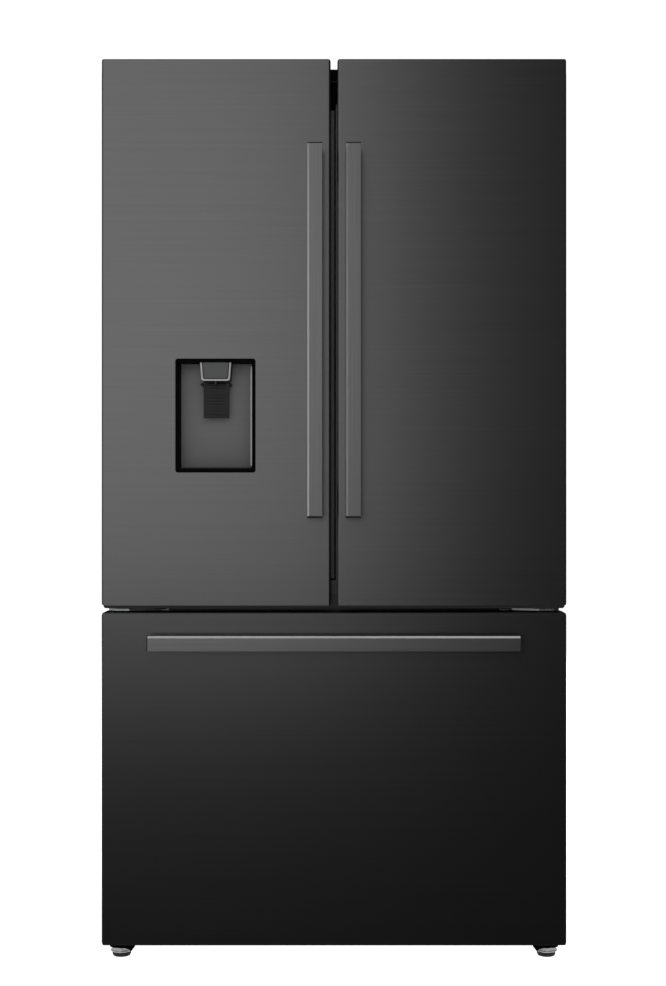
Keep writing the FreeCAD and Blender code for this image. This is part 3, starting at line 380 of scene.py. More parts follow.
def add_tub(bm, low, high, wall, radius, lip=0.0, taper=0.0):
    """An open-topped tub with rounded corners, a wall of even thickness and a rolled lip."""
    own = bmesh.new()
    add_box(own, low, high)
    upright = [e for e in own.edges if abs(e.verts[0].co.z - e.verts[1].co.z) > 1e-6]
    round_edges(own, upright, radius, 5)
    top = [f for f in own.faces if f.normal.z > 0.9]
    bmesh.ops.delete(own, geom=top, context="FACES_ONLY")
    floor = [e for e in own.edges if all(abs(v.co.z - low[2]) < 1e-6 for v in e.verts)]
    round_edges(own, floor, radius * 0.5, 3)
    if taper:
        middle = ((low[0] + high[0]) / 2, (low[1] + high[1]) / 2)
        for vert in own.verts:
            share = 1 - taper * (high[2] - vert.co.z) / (high[2] - low[2])
            vert.co.x = middle[0] + (vert.co.x - middle[0]) * share
            vert.co.y = middle[1] + (vert.co.y - middle[1]) * share
    bmesh.ops.recalc_face_normals(own, faces=own.faces)
    bmesh.ops.solidify(own, geom=list(own.faces), thickness=wall)
    if lip > 0:
        rim = [f for f in own.faces
               if f.normal.z > 0.9 and f.calc_center_median().z > high[2] - wall]
        bmesh.ops.inset_region(own, faces=rim, thickness=wall * 0.2, use_even_offset=True)
    merge_into(bm, own)


def merge_into(bm, own):
    """Add a mesh made on its own to another, and free it."""
    mesh = bpy.data.meshes.new("part")
    own.to_mesh(mesh)
    own.free()
    bm.from_mesh(mesh)
    bpy.data.meshes.remove(mesh)


def ring_points(half_width, half_height, radius, steps=5):
    """A rectangle's outline with round corners, about the origin."""
    points = []
    for corner, (sx, sz) in enumerate(((1, 1), (-1, 1), (-1, -1), (1, -1))):
        for step in range(steps + 1):
            angle = math.radians(90 * corner + 90 * step / steps)
            points.append((sx * (half_width - radius) + radius * math.cos(angle),
                           sz * (half_height - radius) + radius * math.sin(angle)))
    return points


def add_frame(bm, low, high, profile, radius):
    """Carry a profile of (inwards, depth) points round a rectangle in the XZ plane."""
    middle = ((low[0] + high[0]) / 2, (low[2] + high[2]) / 2)
    rows = []
    for inwards, depth in profile:
        r = max(radius - inwards, 0.0004)
        outline = ring_points((high[0] - low[0]) / 2 - inwards, (high[2] - low[2]) / 2 - inwards, r)
        rows.append([bm.verts.new((middle[0] + x, depth, middle[1] + z)) for x, z in outline])
    for row, following in zip(rows, rows[1:] + rows[:1]):
        for index in range(len(row)):
            beside = (index + 1) % len(row)
            bm.faces.new((row[index], row[beside], following[beside], following[index]))


def publish(name, bm, finish_name, body, replaces=(), bevel=0.0, angle=35.0):
    """Turn a bmesh into a finished piece that rides on a body."""
    bmesh.ops.remove_doubles(bm, verts=bm.verts, dist=1e-6)
    bmesh.ops.recalc_face_normals(bm, faces=bm.faces)
    mesh = bpy.data.meshes.new(name)
    bm.to_mesh(mesh)
    bm.free()
    mesh.materials.append(material(finish_name))
    mesh.shade_smooth()
    mesh.set_sharp_from_angle(angle=math.radians(angle))
    piece = bpy.data.objects.new(name, mesh)
    bpy.context.scene.collection.objects.link(piece)
    if bevel > 0:
        rounding = piece.modifiers.new("round", "BEVEL")
        rounding.width = bevel
        rounding.segments = 2
        rounding.limit_method = "ANGLE"
        rounding.angle_limit = math.radians(angle)
    shading = piece.modifiers.new("shading", "WEIGHTED_NORMAL")
    shading.keep_sharp = True
    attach(piece, body)
    if replaces:
        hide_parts(*replaces)
    return piece


def span(node):
    """A node's lowest and highest corners."""
    low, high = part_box(node)
    return Vector(low), Vector(high)


def steps_up(node, apart):
    """The heights in a node's mesh at which its repeated parts stand, from the lowest up."""
    heights, last = [], -1.0
    for z in sorted({round(vert.co.z, 4) for vert in NODES[node].data.vertices}):
        if z - last > apart:
            heights.append(z)
            last = z
    return heights


# ---- pieces ----
class PieceOperator(bpy.types.Operator):
    """Shared behaviour of the operators that make pieces"""
    bl_idname = "refrigerator.piece"
    bl_label = "Piece"
    bl_options = {"REGISTER", "UNDO"}

    def execute(self, context):
        self.make(finish(), sizes())
        return {"FINISHED"}


NODE_FINISH = {
    "cabinet_shell": "cabinet_paint", "cabinet_back": "zinc_sheet", "cabinet_foam": "foam",
    "fridge_liner": "white_plastic", "freezer_liner": "white_plastic",
    "center_rail": "black_paint", "top_cover": "black_with_painted_shade", "top_hinges": "hinge_steel",
    "middle_hinges": "hinge_steel", "base_frame": "zinc_sheet",
    "support_brackets": "black_paint", "foot_left": "hinge_steel", "foot_right": "hinge_steel",
    "roller_left": "tyre_rubber", "roller_right": "tyre_rubber", "compressor": "black_paint",
    "condenser": "black_paint", "fan_shroud": "grey_plastic", "condenser_fan": "black_plastic",
    "machine_cover": "zinc_sheet", "drain_pan": "grey_plastic", "electrics": "dark_plastic",
    "evaporator": "aluminium_fins", "air_ducts": "white_plastic",
    "evaporator_fan": "grey_plastic", "shelf_glass": "shelf_glass",
    "shelf_trims": "white_plastic", "crisper_left": "clear_plastic",
    "crisper_right": "clear_plastic", "dispenser_housing": "black_plastic",
    "dispenser_plate": "recess_plate", "dispenser_spout": "dark_plastic",
    "dispenser_paddle": "black_plastic", "water_tank": "clear_plastic",
    "mullion_flap": "flap_paint", "drawer_runners": "zinc_sheet",
    "middle_slides": "zinc_sheet", "freezer_slides": "zinc_sheet",
    "freezer_basket": "white_plastic", "freezer_tray": "white_plastic",
    "left_handle": "handle_bar_upright", "right_handle": "handle_bar_upright",
    "drawer_handle": "handle_bar_level_painted_light", "left_door_bins": "clear_plastic",
    "right_door_bins": "clear_plastic",
}
PANEL_FINISH = {"skin": "door_steel", "caps": "dark_plastic", "foam": "foam",
                "liner": "white_plastic", "gasket": "seal_rubber"}


class REFRIGERATOR_OT_frame_finishes(PieceOperator):
    """Give every carried-over part of the frame its finished material"""
    bl_idname = "refrigerator.frame_finishes"
    bl_label = "Frame Finishes"

    def make(self, look, size):
        for node, name in NODE_FINISH.items():
            paint_node(node, name)
        for door in ("left_door", "right_door", "drawer"):
            for part, name in PANEL_FINISH.items():
                paint_node(door + "_" + part, name)
        # The drawer skin takes the darkened copy of the door steel: painted shade
        paint_node("drawer_skin", "drawer_steel_painted_shade")


def handle_bar(node, body, size, level):
    """A bar bevelled along its lit edge, the bevel painted brighter as a highlight, with end caps
    and two posts.
    """
    low, high = span(node)
    face = size.bevel_face
    depth, cap, far_cap, seam = 20 * MM, (1.2 if level else 3.4) * MM, 1.6 * MM, 0.5 * MM
    post, wall = 60 * MM, 50 * MM
    length = (high.x - low.x) if level else (high.z - low.z)
    width = (high.z - low.z) if level else (high.x - low.x)
    outline = [(face, 0), (width, 0), (width, depth), (0, depth), (0, face)]
    bars, caps, posts = bmesh.new(), bmesh.new(), bmesh.new()
    for bm, start, stop in ((bars, cap + seam, length - seam - far_cap), (caps, 0, cap),
                            (caps, length - far_cap, length)):
        points = [(x, y, start) for x, y in outline]
        add_outline(bm, points, (0, 0, stop - start), bevel=0.35 * MM)
    inset = (width - 18 * MM) / 2
    add_box(caps, (2 * MM, 2 * MM, 2 * MM), (width - 2 * MM, depth - 2 * MM, length - 1 * MM))
    for start in (0, length - post):
        add_box(posts, (inset, depth, start), (width - inset, wall, start + post), 1.2 * MM)
        add_box(posts, (inset - 1.5 * MM, wall - 1.2 * MM, start),
                (width - inset + 1.5 * MM, wall, start + post), 0.4 * MM)
    if level:
        turn = Matrix(((0, 0, 1, low.x), (0, 1, 0, low.y), (-1, 0, 0, high.z), (0, 0, 0, 1)))
    else:
        turn = Matrix.Translation(low)
    for bm in (bars, caps, posts):
        bmesh.ops.transform(bm, matrix=turn, verts=bm.verts)
    # The level bar takes the lightened copy of the bar metal: painted light
    surface = "handle_bar_level_painted_light" if level else "handle_bar_upright"
    bar = publish(node + "_bar", bars, surface, body, replaces=(node,))
    bar.data.materials.append(material("trim_and_painted_highlight"))
    # The bevel faces turned towards the lamps take the brighter metal: a painted highlight
    for polygon in bar.data.polygons:
        normal = polygon.normal
        side = normal.z if level else -normal.x
        if normal.y < -0.5 and side > 0.5:
            polygon.material_index = 1
    publish(node + "_ends", caps, "dark_plastic", body)
    publish(node + "_posts", posts, "dark_plastic", body)


class REFRIGERATOR_OT_handles(PieceOperator):
    """Make the three bar handles"""
    bl_idname = "refrigerator.handles"
    bl_label = "Handles"

    def make(self, look, size):
        handle_bar("left_handle", "left_door", size, level=False)
        handle_bar("right_handle", "right_door", size, level=False)
        handle_bar("drawer_handle", "drawer", size, level=True)


class REFRIGERATOR_OT_dispenser(PieceOperator):
    """Make the water dispenser's rim, recess, spout, paddle and grille"""
    bl_idname = "refrigerator.dispenser"
    bl_label = "Dispenser"

    def make(self, look, size):
        low, high = span("dispenser_housing")
        self.recess(low, high)
        self.spout(high.z - 2.5 * MM, size)
        self.paddle()
        self.plate()

    def recess(self, low, high):
        front, back = low.y, high.y
        rim, step = 7 * MM, 0.6 * MM
        profile = [(0, front + 3 * MM), (0, front + step), (step, front), (rim - step, front),
                   (rim, front + step), (rim, back - 2 * MM), (rim, back), (rim - 2 * MM, back),
                   (rim - 2 * MM, front + 3 * MM)]
        bm = bmesh.new()
        add_frame(bm, low, high, profile, 5 * MM)
        add_box(bm, (low.x + rim, back - 2.2 * MM, low.z + rim), (high.x - rim, back, high.z - rim))
        publish("dispenser_recess", bm, "black_with_painted_shade", "left_door",
                replaces=("dispenser_housing",))
        grille = bmesh.new()
        z = low.z + rim
        x0, x1, y0, y1 = low.x + rim, high.x - rim, front + 7 * MM, back - 8 * MM
        for y in (y0, y1 - 4 * MM):
            add_box(grille, (x0, y, z), (x1, y + 4 * MM, z + 3 * MM), 0.5 * MM)
        count = 17
        for index in range(count):
            x = x0 + (x1 - x0 - 3 * MM) * index / (count - 1)
            add_box(grille, (x, y0, z), (x + 3 * MM, y1, z + 2.6 * MM), 0.4 * MM)
        publish("drip_grille", grille, "dark_plastic", "left_door")

    def plate(self):
        low, high = span("dispenser_plate")
        back = high.y
        bm = bmesh.new()
        add_box(bm, (low.x, back - 1.2 * MM, low.z), (high.x, back, high.z), 0.3 * MM)
        publish("dispenser_back_panel", bm, "recess_plate", "left_door",
                replaces=("dispenser_plate",))
        # A bright strip on the plate's right edge only, where light from the left falls: a painted
        # highlight
        edge = bmesh.new()
        add_box(edge, (high.x - 5.2 * MM, back - 6 * MM, low.z + 4 * MM),
                (high.x - 1.8 * MM, back - 1 * MM, high.z - 4 * MM), 0.5 * MM)
        publish("dispenser_panel_highlight", edge, "trim_and_painted_highlight", "left_door")
        ears = bmesh.new()
        paddle_low, paddle_high = span("dispenser_paddle")
        middle = (paddle_low.y + paddle_high.y) / 2
        for sign in (-1, 1):
            x = (paddle_low.x + paddle_high.x) / 2 + sign * 27 * MM
            add_box(ears, (x - 0.8 * MM, middle - 5 * MM, paddle_high.z - 7 * MM),
                    (x + 0.8 * MM, back - 1 * MM, paddle_high.z - 0.5 * MM), 0.3 * MM)
        publish("paddle_ears", ears, "dark_plastic", "left_door")

    def spout(self, top, size):
        box_low, box_high = span("dispenser_spout")
        bottom = box_low.z + 6 * MM
        middle = (box_low.x + box_high.x) / 2
        wide, narrow = 31.5 * MM, 29 * MM
        y0 = box_low.y

        def shell(name, inset, front, thick, surface, round_by):
            """A plate of the spout's outline, drawn in by the inset."""
            bm = bmesh.new()
            low_edge = bottom + inset
            outline = [(middle - wide + inset, front, top), (middle + wide - inset, front, top),
                       (middle + narrow - inset, front, low_edge + round_by),
                       (middle + narrow - inset - round_by * 0.3, front, low_edge + round_by * 0.3),
                       (middle + narrow - inset - round_by, front, low_edge),
                       (middle - narrow + inset + round_by, front, low_edge),
                       (middle - narrow + inset + round_by * 0.3, front, low_edge + round_by * 0.3),
                       (middle - narrow + inset, front, low_edge + round_by)]
            add_outline(bm, outline, (0, thick, 0), bevel=0.4 * MM)
            return publish(name, bm, surface, "left_door")
        body = shell("spout_body", 0.0, y0 + 2 * MM, 32 * MM, "dark_plastic", 5 * MM)
        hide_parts("dispenser_spout")
        shell("spout_trim", 0.6 * MM, y0 + 0.8 * MM, 2 * MM, "trim_and_painted_highlight", 4.5 * MM)
        shell("spout_groove", 0.6 * MM + size.trim_line, y0 + 0.3 * MM, 2 * MM, "black_plastic",
              3.5 * MM)
        shell("spout_face", 2.6 * MM + size.trim_line, y0, 1.5 * MM, "spout_face", 2.5 * MM)
        bm = bmesh.new()
        x, y = middle, y0 + 10 * MM
        add_rod(bm, 4 * MM, (x, y, bottom + 2 * MM), (x, y, bottom - 5.5 * MM), 32, 3.4 * MM,
                0.4 * MM)
        add_rod(bm, 6 * MM, (x, y, bottom + 2 * MM), (x, y, bottom - 1.5 * MM), 32, None, 0.5 * MM)
        publish("spout_nozzle", bm, "gloss_black", "left_door")

    def paddle(self):
        low, high = span("dispenser_paddle")
        x0, x1 = low.x + 6 * MM, high.x - 6 * MM
        front, back = low.y, high.y
        bm = bmesh.new()
        steps = 12
        for index in range(steps):
            share0, share1 = index / steps, (index + 1) / steps
            a, b = x0 + (x1 - x0) * share0, x0 + (x1 - x0) * share1
            dish = 3.4 * MM * (1 - (share0 + share1 - 1) ** 2)
            add_box(bm, (a, front + dish, low.z + 2 * MM), (b, back, high.z))
        count = 9
        for index in range(count):
            z = low.z + 7 * MM + (high.z - low.z - 18 * MM) * index / (count - 1)
            add_box(bm, (x0 + 3 * MM, front + 0.5 * MM, z),
                    (x1 - 3 * MM, front + 4 * MM, z + 1.6 * MM), 0.5 * MM)
        for x in (x0, x1 - 3 * MM):
            add_box(bm, (x, front, low.z), (x + 3 * MM, back, high.z), 0.9 * MM)
        add_box(bm, (x0, front, low.z), (x1, back, low.z + 4 * MM), 1.2 * MM)
        axle_z = high.z - 3 * MM
        middle = (front + back) / 2
        add_rod(bm, 2.5 * MM, (low.x, middle, axle_z), (high.x, middle, axle_z), 24)
        publish("water_paddle", bm, "black_plastic", "paddle",
                replaces=("dispenser_paddle",))


class REFRIGERATOR_OT_seals(PieceOperator):
    """Make the folded magnetic seals on both doors and the drawer"""
    bl_idname = "refrigerator.seals"
    bl_label = "Seals"

    def make(self, look, size):
        fold = size.seal_lip
        for door in ("left_door", "right_door", "drawer"):
            low, high = span(door + "_gasket")
            y0, y1 = low.y, high.y
            depth = y1 - y0
            outer = [(0.001, y0), (0.001, y0 + depth * 0.18), (fold, y0 + depth * 0.3),
                     (0.0, y0 + depth * 0.45), (fold, y0 + depth * 0.6),
                     (0.0, y0 + depth * 0.72), (0.0, y1 - 0.0005), (0.0005, y1)]
            width = 0.014
            inner = [(width - x, y) for x, y in reversed(outer)]
            bm = bmesh.new()
            add_frame(bm, low, high, outer + inner, 3 * MM)
            publish(door + "_seal", bm, "seal_rubber", door,
                    replaces=(door + "_gasket",), angle=50)


class REFRIGERATOR_OT_containers(PieceOperator):
    """Make the door bins, the drawers, the baskets and the water tank"""
    bl_idname = "refrigerator.containers"
    bl_label = "Containers"

    def make(self, look, size):
        for door in ("left_door", "right_door"):
            self.door_bins(door)
        for side in ("left", "right"):
            self.crisper(side)
        self.basket()
        self.tank()

    def door_bins(self, door):
        node = door + "_bins"
        low, high = span(node)
        inset = 10 * MM
        bm = bmesh.new()
        for z in steps_up(node, 0.12):
            a = (low.x + inset, low.y + 0.2 * MM, z)
            b = (high.x - inset, high.y, z + 90 * MM)
            add_tub(bm, a, b, 2.6 * MM, 12 * MM, lip=1, taper=0.03)
            for x in (low.x, high.x - inset - 2 * MM):
                add_box(bm, (x, low.y + 35.2 * MM, z + 40 * MM),
                        (x + inset + 2 * MM, low.y + 43 * MM, z + 70 * MM), 1.5 * MM)
            add_box(bm, (a[0] + 14 * MM, b[1] - 3.2 * MM, b[2] - 14 * MM),
                    (b[0] - 14 * MM, b[1], b[2] - 6 * MM), 1.2 * MM)
        publish(door + "_bin_set", bm, "clear_plastic", door, replaces=(node,))

    def crisper(self, side):
        node = "crisper_" + side
        low, high = span(node)
        body = node + "_body"
        front = low.y + 14 * MM
        bm = bmesh.new()
        add_tub(bm, (low.x, front, low.z), (high.x, high.y, high.z), 3 * MM, 10 * MM, lip=1,
                taper=0.03)
        publish(node + "_tub", bm, "clear_plastic", body, replaces=(node,))
        pull = bmesh.new()
        add_box(pull, (low.x + 8 * MM, low.y, high.z - 24 * MM),
                (high.x - 8 * MM, front + 1 * MM, high.z - 2 * MM), 4 * MM, 3)
        publish(node + "_pull", pull, "white_plastic", body)

    def basket(self):
        for node, body, rim in (("freezer_basket", "drawer", True),
                                ("freezer_tray", "tray", False)):
            low, high = span(node)
            side = 30 * MM if rim else 0.0
            bm = bmesh.new()
            add_tub(bm, (low.x + side, low.y, low.z), (high.x - side, high.y, high.z), 2.6 * MM,
                    14 * MM, lip=1, taper=0.02)
            if rim:
                z = high.z - 8 * MM
                for x0, x1 in ((low.x, low.x + side + 3 * MM), (high.x - side - 3 * MM, high.x)):
                    add_box(bm, (x0, low.y, z), (x1, high.y, z + 4 * MM), 1 * MM)
            count, margin = 11, side + 40 * MM
            for index in range(count):
                x = low.x + margin + (high.x - low.x - 2 * margin) * index / (count - 1)
                add_box(bm, (x - 3 * MM, low.y + 1 * MM, low.z + 20 * MM),
                        (x + 3 * MM, low.y + 6 * MM, high.z - 20 * MM), 1.5 * MM)
            publish(node + "_tub", bm, "white_plastic", body, replaces=(node,))

    def tank(self):
        low, high = span("water_tank")
        lid = high.z - 12 * MM
        bm = bmesh.new()
        add_tub(bm, low, (high.x, high.y, lid), 2.6 * MM, 10 * MM, taper=0.02)
        publish("water_tank_body", bm, "clear_plastic", "left_door",
                replaces=("water_tank",))
        top = bmesh.new()
        add_box(top, (low.x, low.y, lid), (high.x, high.y, lid + 6 * MM), 2 * MM, 3)
        x, y = low.x + 60 * MM, (low.y + high.y) / 2
        add_rod(top, 22 * MM, (x, y, lid + 4 * MM), (x, y, high.z), 48, 20 * MM, 1 * MM)
        add_box(top, (x - 18 * MM, y - 1.5 * MM, lid + 8 * MM),
                (x + 18 * MM, y + 1.5 * MM, high.z), 0.5 * MM)
        publish("water_tank_lid", top, "white_plastic", "left_door")


class REFRIGERATOR_OT_feet(PieceOperator):
    """Make the levelling feet and the rear rollers"""
    bl_idname = "refrigerator.feet"
    bl_label = "Feet"

    def make(self, look, size):
        for side in ("left", "right"):
            low, high = span("foot_" + side)
            x, y = (low.x + high.x) / 2, (low.y + high.y) / 2
            body = "foot_" + side + "_body"
            pad = bmesh.new()
            for bottom, top, radius, tip in ((0, 3, 17, 18.2), (2.8, 6.4, 18.5, 18.5),
                                             (6.2, 9.8, 17.4, 16.6), (18, 24, 15, 15)):
                add_rod(pad, radius * MM, (x, y, bottom * MM), (x, y, top * MM), 48, tip * MM,
                        0.5 * MM)
            publish("foot_pad_" + side, pad, "tyre_rubber", body,
                    replaces=("foot_" + side,))
            nut = bmesh.new()
            add_rod(nut, 21.6 * MM, (x, y, 9.6 * MM), (x, y, 11.6 * MM), 48, 21.6 * MM, 0.5 * MM)
            add_rod(nut, 21 * MM, (x, y, 11.4 * MM), (x, y, 18.6 * MM), 6, 21 * MM, 0.9 * MM)
            add_rod(nut, 5.5 * MM, (x, y, 20 * MM), (x, y, high.z), 32, 5.5 * MM, 0.5 * MM)
            pitch = 1.75 * MM
            for turn in range(int((high.z - 25 * MM) / pitch)):
                z = 24.6 * MM + turn * pitch
                add_rod(nut, 5.3 * MM, (x, y, z), (x, y, z + pitch * 0.5), 24, 5.98 * MM)
            publish("foot_nut_" + side, nut, "nut_steel", body)
            self.guard(side, x)
            low, high = span("roller_" + side)
            y, z = (low.y + high.y) / 2, (low.z + high.z) / 2
            wheel = bmesh.new()
            radius = (high.z - low.z) / 2
            add_rod(wheel, radius, (low.x, y, z), (high.x, y, z), 64, radius, 1.6 * MM)
            for index in range(6):
                angle = math.radians(60 * index)
                spot = (y + 11 * MM * math.cos(angle), z + 11 * MM * math.sin(angle))
                add_rod(wheel, 3 * MM, (low.x - 0.2 * MM, *spot), (high.x + 0.2 * MM, *spot), 16)
            publish("roller_wheel_" + side, wheel, "tyre_rubber", "roller_" + side + "_body",
                    replaces=("roller_" + side,))

    def guard(self, side, x):
        """The bracket's front face, which hangs from the frame over the foot."""
        inwards = 1 if side == "left" else -1
        face = span("base_frame")[0].y
        edge = ((-20, 34), (30, 34), (30, 24), (22, 14), (18, 18), (10, 20.5), (-14, 21.5),
                (-20, 24))
        outline = [(x + inwards * across * MM, face, z * MM) for across, z in edge]
        bm = bmesh.new()
        add_outline(bm, outline, (0, -5 * MM, 0), bevel=0.5 * MM)
        publish("foot_guard_" + side, bm, "black_with_painted_shade", "cabinet")


class REFRIGERATOR_OT_rear(PieceOperator):
    """Make the pressed rear sheet, its screws, the cover's flanges and the compressor"""
    bl_idname = "refrigerator.rear"
    bl_label = "Rear"

    def make(self, look, size):
        low, high = span("cabinet_back")
        bm = bmesh.new()
        add_box(bm, low, high)
        face = [f for f in bm.faces if f.normal.y > 0.9]
        for inset, depth in ((35, 0), (4, 3), (90, 0), (3, -2)):
            bmesh.ops.inset_region(bm, faces=face, thickness=inset * MM, depth=depth * MM,
                                   use_even_offset=True)
        publish("rear_panel", bm, "zinc_sheet", "cabinet", replaces=("cabinet_back",))
        cover_low, cover_high = span("machine_cover")
        self.screws(low, high, cover_low, cover_high)
        self.flanges(cover_low, cover_high)
        self.compressor()

    def screws(self, low, high, cover_low, cover_high):
        bm = bmesh.new()
        for z in (low.z + 14 * MM, (low.z + high.z) / 2, high.z - 14 * MM):
            for x in (low.x + 12 * MM, high.x - 12 * MM):
                add_rod(bm, 5 * MM, (x, high.y, z), (x, high.y + 2.4 * MM, z), 6, 4.6 * MM,
                        0.4 * MM)
        for x in (cover_low.x + 14 * MM, 0.0, cover_high.x - 14 * MM):
            z = cover_high.z - 6 * MM
            add_rod(bm, 4.5 * MM, (x, cover_high.y - 2 * MM, z), (x, cover_high.y, z), 6,
                    4.2 * MM, 0.3 * MM)
        publish("rear_screws", bm, "hinge_steel", "cabinet")

    def flanges(self, cover_low, cover_high):
        """The sheet strips that close the bay beside its cover."""
        shell_low, shell_high = span("cabinet_shell")
        bm = bmesh.new()
        for x0, x1 in ((shell_low.x + 0.5 * MM, cover_low.x - 0.2 * MM),
                       (cover_high.x + 0.2 * MM, shell_high.x - 0.5 * MM)):
            add_box(bm, (x0, shell_high.y, cover_low.z),
                    (x1, shell_high.y + 1.2 * MM, cover_high.z - 0.5 * MM), 0.3 * MM)
        publish("cover_flanges", bm, "zinc_sheet", "cabinet")

    def compressor(self):
        low, high = span("compressor")
        x, y = 0.250, 0.255
        radius, z0 = 82 * MM, 44 * MM
        top = z0 + 175 * MM
        profile = [(0.0, top), (40 * MM, top - 3 * MM), (66 * MM, top - 14 * MM),
                   (80 * MM, top - 34 * MM), (radius, top - 60 * MM), (radius, z0 + 70 * MM),
                   (radius + 2.5 * MM, z0 + 68 * MM), (radius + 2.5 * MM, z0 + 63 * MM),
                   (radius, z0 + 61 * MM), (radius, z0 + 34 * MM), (70 * MM, z0 + 10 * MM),
                   (40 * MM, z0), (0.0, z0)]
        bm = bmesh.new()
        verts = [bm.verts.new((x + r, y, z)) for r, z in profile]
        edges = [bm.edges.new(pair) for pair in zip(verts, verts[1:])]
        bmesh.ops.spin(bm, geom=verts + edges, cent=(x, y, 0), axis=(0, 0, 1),
                       angle=math.tau, steps=64, use_merge=True)
        add_box(bm, (x - 105 * MM, y - 60 * MM, z0 - 3 * MM),
                (x + 105 * MM, y + 60 * MM, z0 + 2 * MM), 1.5 * MM)
        add_box(bm, (x + 78 * MM, y - 22 * MM, z0 + 60 * MM),
                (high.x, y + 22 * MM, z0 + 110 * MM), 3 * MM)
        for sx in (-1, 1):
            for sy in (-1, 1):
                px, py = x + sx * 90 * MM, y + sy * 45 * MM
                add_rod(bm, 11 * MM, (px, py, 32 * MM), (px, py, z0 - 2 * MM), 32, 9 * MM, 1 * MM)
        publish("compressor_can", bm, "black_paint", "cabinet",
                replaces=("compressor",))
        pipe, pipe_y, pipe_z = bmesh.new(), y + 20 * MM, z0 + 60 * MM
        add_rod(pipe, 4 * MM, (low.x, pipe_y, pipe_z), (x - 70 * MM, pipe_y, pipe_z), 24)
        publish("service_pipe", pipe, "copper", "cabinet")


class REFRIGERATOR_OT_shelves(PieceOperator):
    """Make the shelf frames, the trims round the flap and the ceiling lamp's lenses"""
    bl_idname = "refrigerator.shelves"
    bl_label = "Shelves"

    def make(self, look, size):
        low, high = span("shelf_trims")
        bm = bmesh.new()
        for index, z in enumerate(steps_up("shelf_trims", 0.05)):
            spans = [(low.x, high.x)] if index < 2 else [(low.x, -2 * MM), (2 * MM, high.x)]
            for x0, x1 in spans:
                y0, y1, side = low.y, high.y, 13 * MM
                add_box(bm, (x0, y0, z), (x1, y0 + 20 * MM, z + 12 * MM), 3.5 * MM, 4)
                add_box(bm, (x0, y1 - 16 * MM, z), (x1, y1, z + 12 * MM), 1.5 * MM)
                for a, b in ((x0, x0 + side), (x1 - side, x1)):
                    add_box(bm, (a, y0 + 10 * MM, z), (b, y1 - 4 * MM, z + 12 * MM), 1.5 * MM)
        publish("shelf_frames", bm, "white_plastic", "cabinet",
                replaces=("shelf_trims",))
        self.flap_trims()
        self.lamp(low.y)

    def flap_trims(self):
        """The guide above the flap, its seat below, and the lip behind the other door's edge."""
        flap_low, flap_high = span("mullion_flap")
        face = span("center_rail")[0].y
        top = span("cabinet_shell")[1].z - 1 * MM
        for name, bottom, stop, surface in (
                ("flap_guide", flap_high.z - 8 * MM, top, "black_with_painted_shade"),
                ("flap_seat", flap_low.z - 20 * MM, flap_low.z + 8 * MM, "flap_paint")):
            bm = bmesh.new()
            add_box(bm, (-8 * MM, face - 1.6 * MM, bottom), (7.4 * MM, face, stop), 0.4 * MM)
            publish(name, bm, surface, "cabinet")
        lip, rear = bmesh.new(), span("right_door_liner")[0].y + 2 * MM
        add_box(lip, (3.6 * MM, rear, flap_low.z), (7.9 * MM, rear + 3 * MM, flap_high.z), 0.3 * MM)
        publish("door_edge_lip", lip, "flap_paint", "right_door")

    def lamp(self, front):
        ceiling = span("fridge_liner")[1].z - 2 * MM
        bm = bmesh.new()
        for x0, x1 in ((-150 * MM, -12 * MM), (12 * MM, 150 * MM)):
            add_box(bm, (x0, front + 4 * MM, ceiling - 9.5 * MM),
                    (x1, front + 36 * MM, ceiling - 7 * MM), 1 * MM)
        publish("lamp_lens_cover", bm, "lamp_lens", "cabinet")


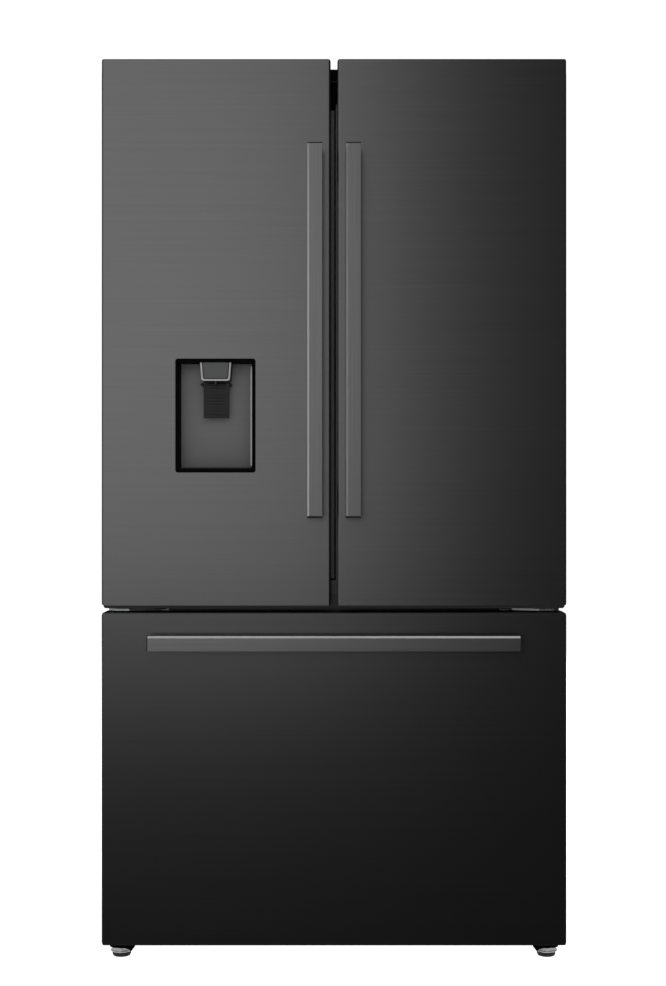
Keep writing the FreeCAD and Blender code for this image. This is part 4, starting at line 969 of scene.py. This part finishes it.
class REFRIGERATOR_OT_stage(PieceOperator):
    """Make the floor, the lights and the camera"""
    bl_idname = "refrigerator.stage"
    bl_label = "Stage"

    def make(self, look, size):
        self.backdrop()
        self.lights()
        self.camera(size)

    def backdrop(self):
        """A floor that lights the part, and a far shell that only the camera sees."""
        reach, shell_radius = 6.0, 18.0
        stage_paint, tree, shader = new_material("stage_paint", Roughness=0.9,
                                                 Emission_Strength=1.0)
        wash = noise(tree, 0.6, detail=2.0)
        tree.links.new(ramp(tree, wash, (0.93, 0.93, 0.93, 1), (0.95, 0.95, 0.95, 1)),
                       shader.inputs["Base Color"])
        shader.inputs["Emission Color"].default_value = (1.0, 1.0, 1.0, 1.0)
        shader.inputs["Specular IOR Level"].default_value = 0.0
        for name in ("stage_floor", "stage_shell"):
            bm = bmesh.new()
            if name == "stage_floor":
                bmesh.ops.create_grid(bm, x_segments=8, y_segments=8, size=reach)
            else:
                bmesh.ops.create_icosphere(bm, subdivisions=4, radius=shell_radius)
            mesh = bpy.data.meshes.new(name)
            bm.to_mesh(mesh)
            bm.free()
            mesh.materials.append(stage_paint)
            sheet = bpy.data.objects.new(name, mesh)
            sheet.visible_glossy = False
            if name == "stage_shell":
                sheet.visible_diffuse = sheet.visible_transmission = sheet.visible_shadow = False
            bpy.context.scene.collection.objects.link(sheet)

    def area(self, name, place, aim, width, height, power, glossy=True):
        """A soft rectangular light; one that isn't glossy leaves no reflection."""
        data = bpy.data.lights.new(name, "AREA")
        data.shape = "RECTANGLE"
        data.size, data.size_y = width, height
        data.energy = power
        lamp = bpy.data.objects.new(name, data)
        lamp.location = place
        lamp.visible_glossy = glossy
        lamp.rotation_euler = (Vector(aim) - Vector(place)).to_track_quat("-Z", "Y").to_euler()
        bpy.context.scene.collection.objects.link(lamp)

    def lights(self):
        self.area("front_panel", (-1.24, -3.7, 2.0), (-1.24, 0.0, 2.0), 2.9, 3.4, 31)
        self.area("left_strip", (-3.4, -0.7, 1.3), (0.0, -0.7, 1.3), 1.2, 2.6, 12)
        self.area("top_strip", (0.0, -0.9, 3.6), (0.0, -0.5, 0.6), 2.6, 1.0, 8)
        self.area("front_fill", (0.8, -3.9, 2.6), (0.0, 0.0, 1.0), 2.4, 2.4, 60, glossy=False)
        self.area("top_fill", (0.0, 0.8, 4.2), (0.0, 0.2, 0.0), 4.0, 3.0, 40)
        self.area("rear_fill", (1.8, 4.6, 2.4), (0.0, 0.37, 0.9), 2.4, 2.4, 90, glossy=False)
        world = bpy.data.worlds.new("studio")
        world.use_nodes = True
        background = world.node_tree.nodes["Background"]
        background.inputs["Color"].default_value = (1, 1, 1, 1)
        background.inputs["Strength"].default_value = 0.035
        bpy.context.scene.world = world

    def camera(self, size):
        door_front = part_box("right_door_skin")[0][1]
        data = bpy.data.cameras.new("camera")
        data.sensor_width = 36.0
        data.lens = 56.0
        camera = bpy.data.objects.new("camera", data)
        camera.location = (-0.002, door_front - size.camera_distance, size.camera_height)
        camera.rotation_euler = (math.radians(90), 0, 0)
        bpy.context.scene.collection.objects.link(camera)
        bpy.context.scene.camera = camera
        bpy.context.scene.view_settings.view_transform = "Standard"


PIECES = (
    REFRIGERATOR_OT_frame_finishes, REFRIGERATOR_OT_handles, REFRIGERATOR_OT_dispenser,
    REFRIGERATOR_OT_seals, REFRIGERATOR_OT_containers, REFRIGERATOR_OT_shelves,
    REFRIGERATOR_OT_feet, REFRIGERATOR_OT_rear, REFRIGERATOR_OT_stage,
)


class REFRIGERATOR_PT_panel(bpy.types.Panel):
    """The refrigerator's sizes, colours and pieces"""
    bl_idname = "REFRIGERATOR_PT_panel"
    bl_label = "Refrigerator"
    bl_space_type = "VIEW_3D"
    bl_region_type = "UI"
    bl_category = "Refrigerator"

    def draw(self, context):
        for group in (context.scene.refrigerator_sizes, context.scene.refrigerator_finish):
            for name in group.__annotations__:
                self.layout.prop(group, name)
        for piece in PIECES:
            self.layout.operator(piece.bl_idname)


CLASSES = (RefrigeratorFinish, RefrigeratorSizes) + PIECES + (REFRIGERATOR_PT_panel,)


def register():
    for made in CLASSES:
        bpy.utils.register_class(made)
    bpy.types.Scene.refrigerator_finish = bpy.props.PointerProperty(type=RefrigeratorFinish)
    bpy.types.Scene.refrigerator_sizes = bpy.props.PointerProperty(type=RefrigeratorSizes)


def unregister():
    del bpy.types.Scene.refrigerator_sizes
    del bpy.types.Scene.refrigerator_finish
    for made in reversed(CLASSES):
        bpy.utils.unregister_class(made)


def main():
    register()
    for piece in PIECES:
        family, name = piece.bl_idname.split(".")
        getattr(getattr(bpy.ops, family), name)()


if __name__ == "__main__":
    main()
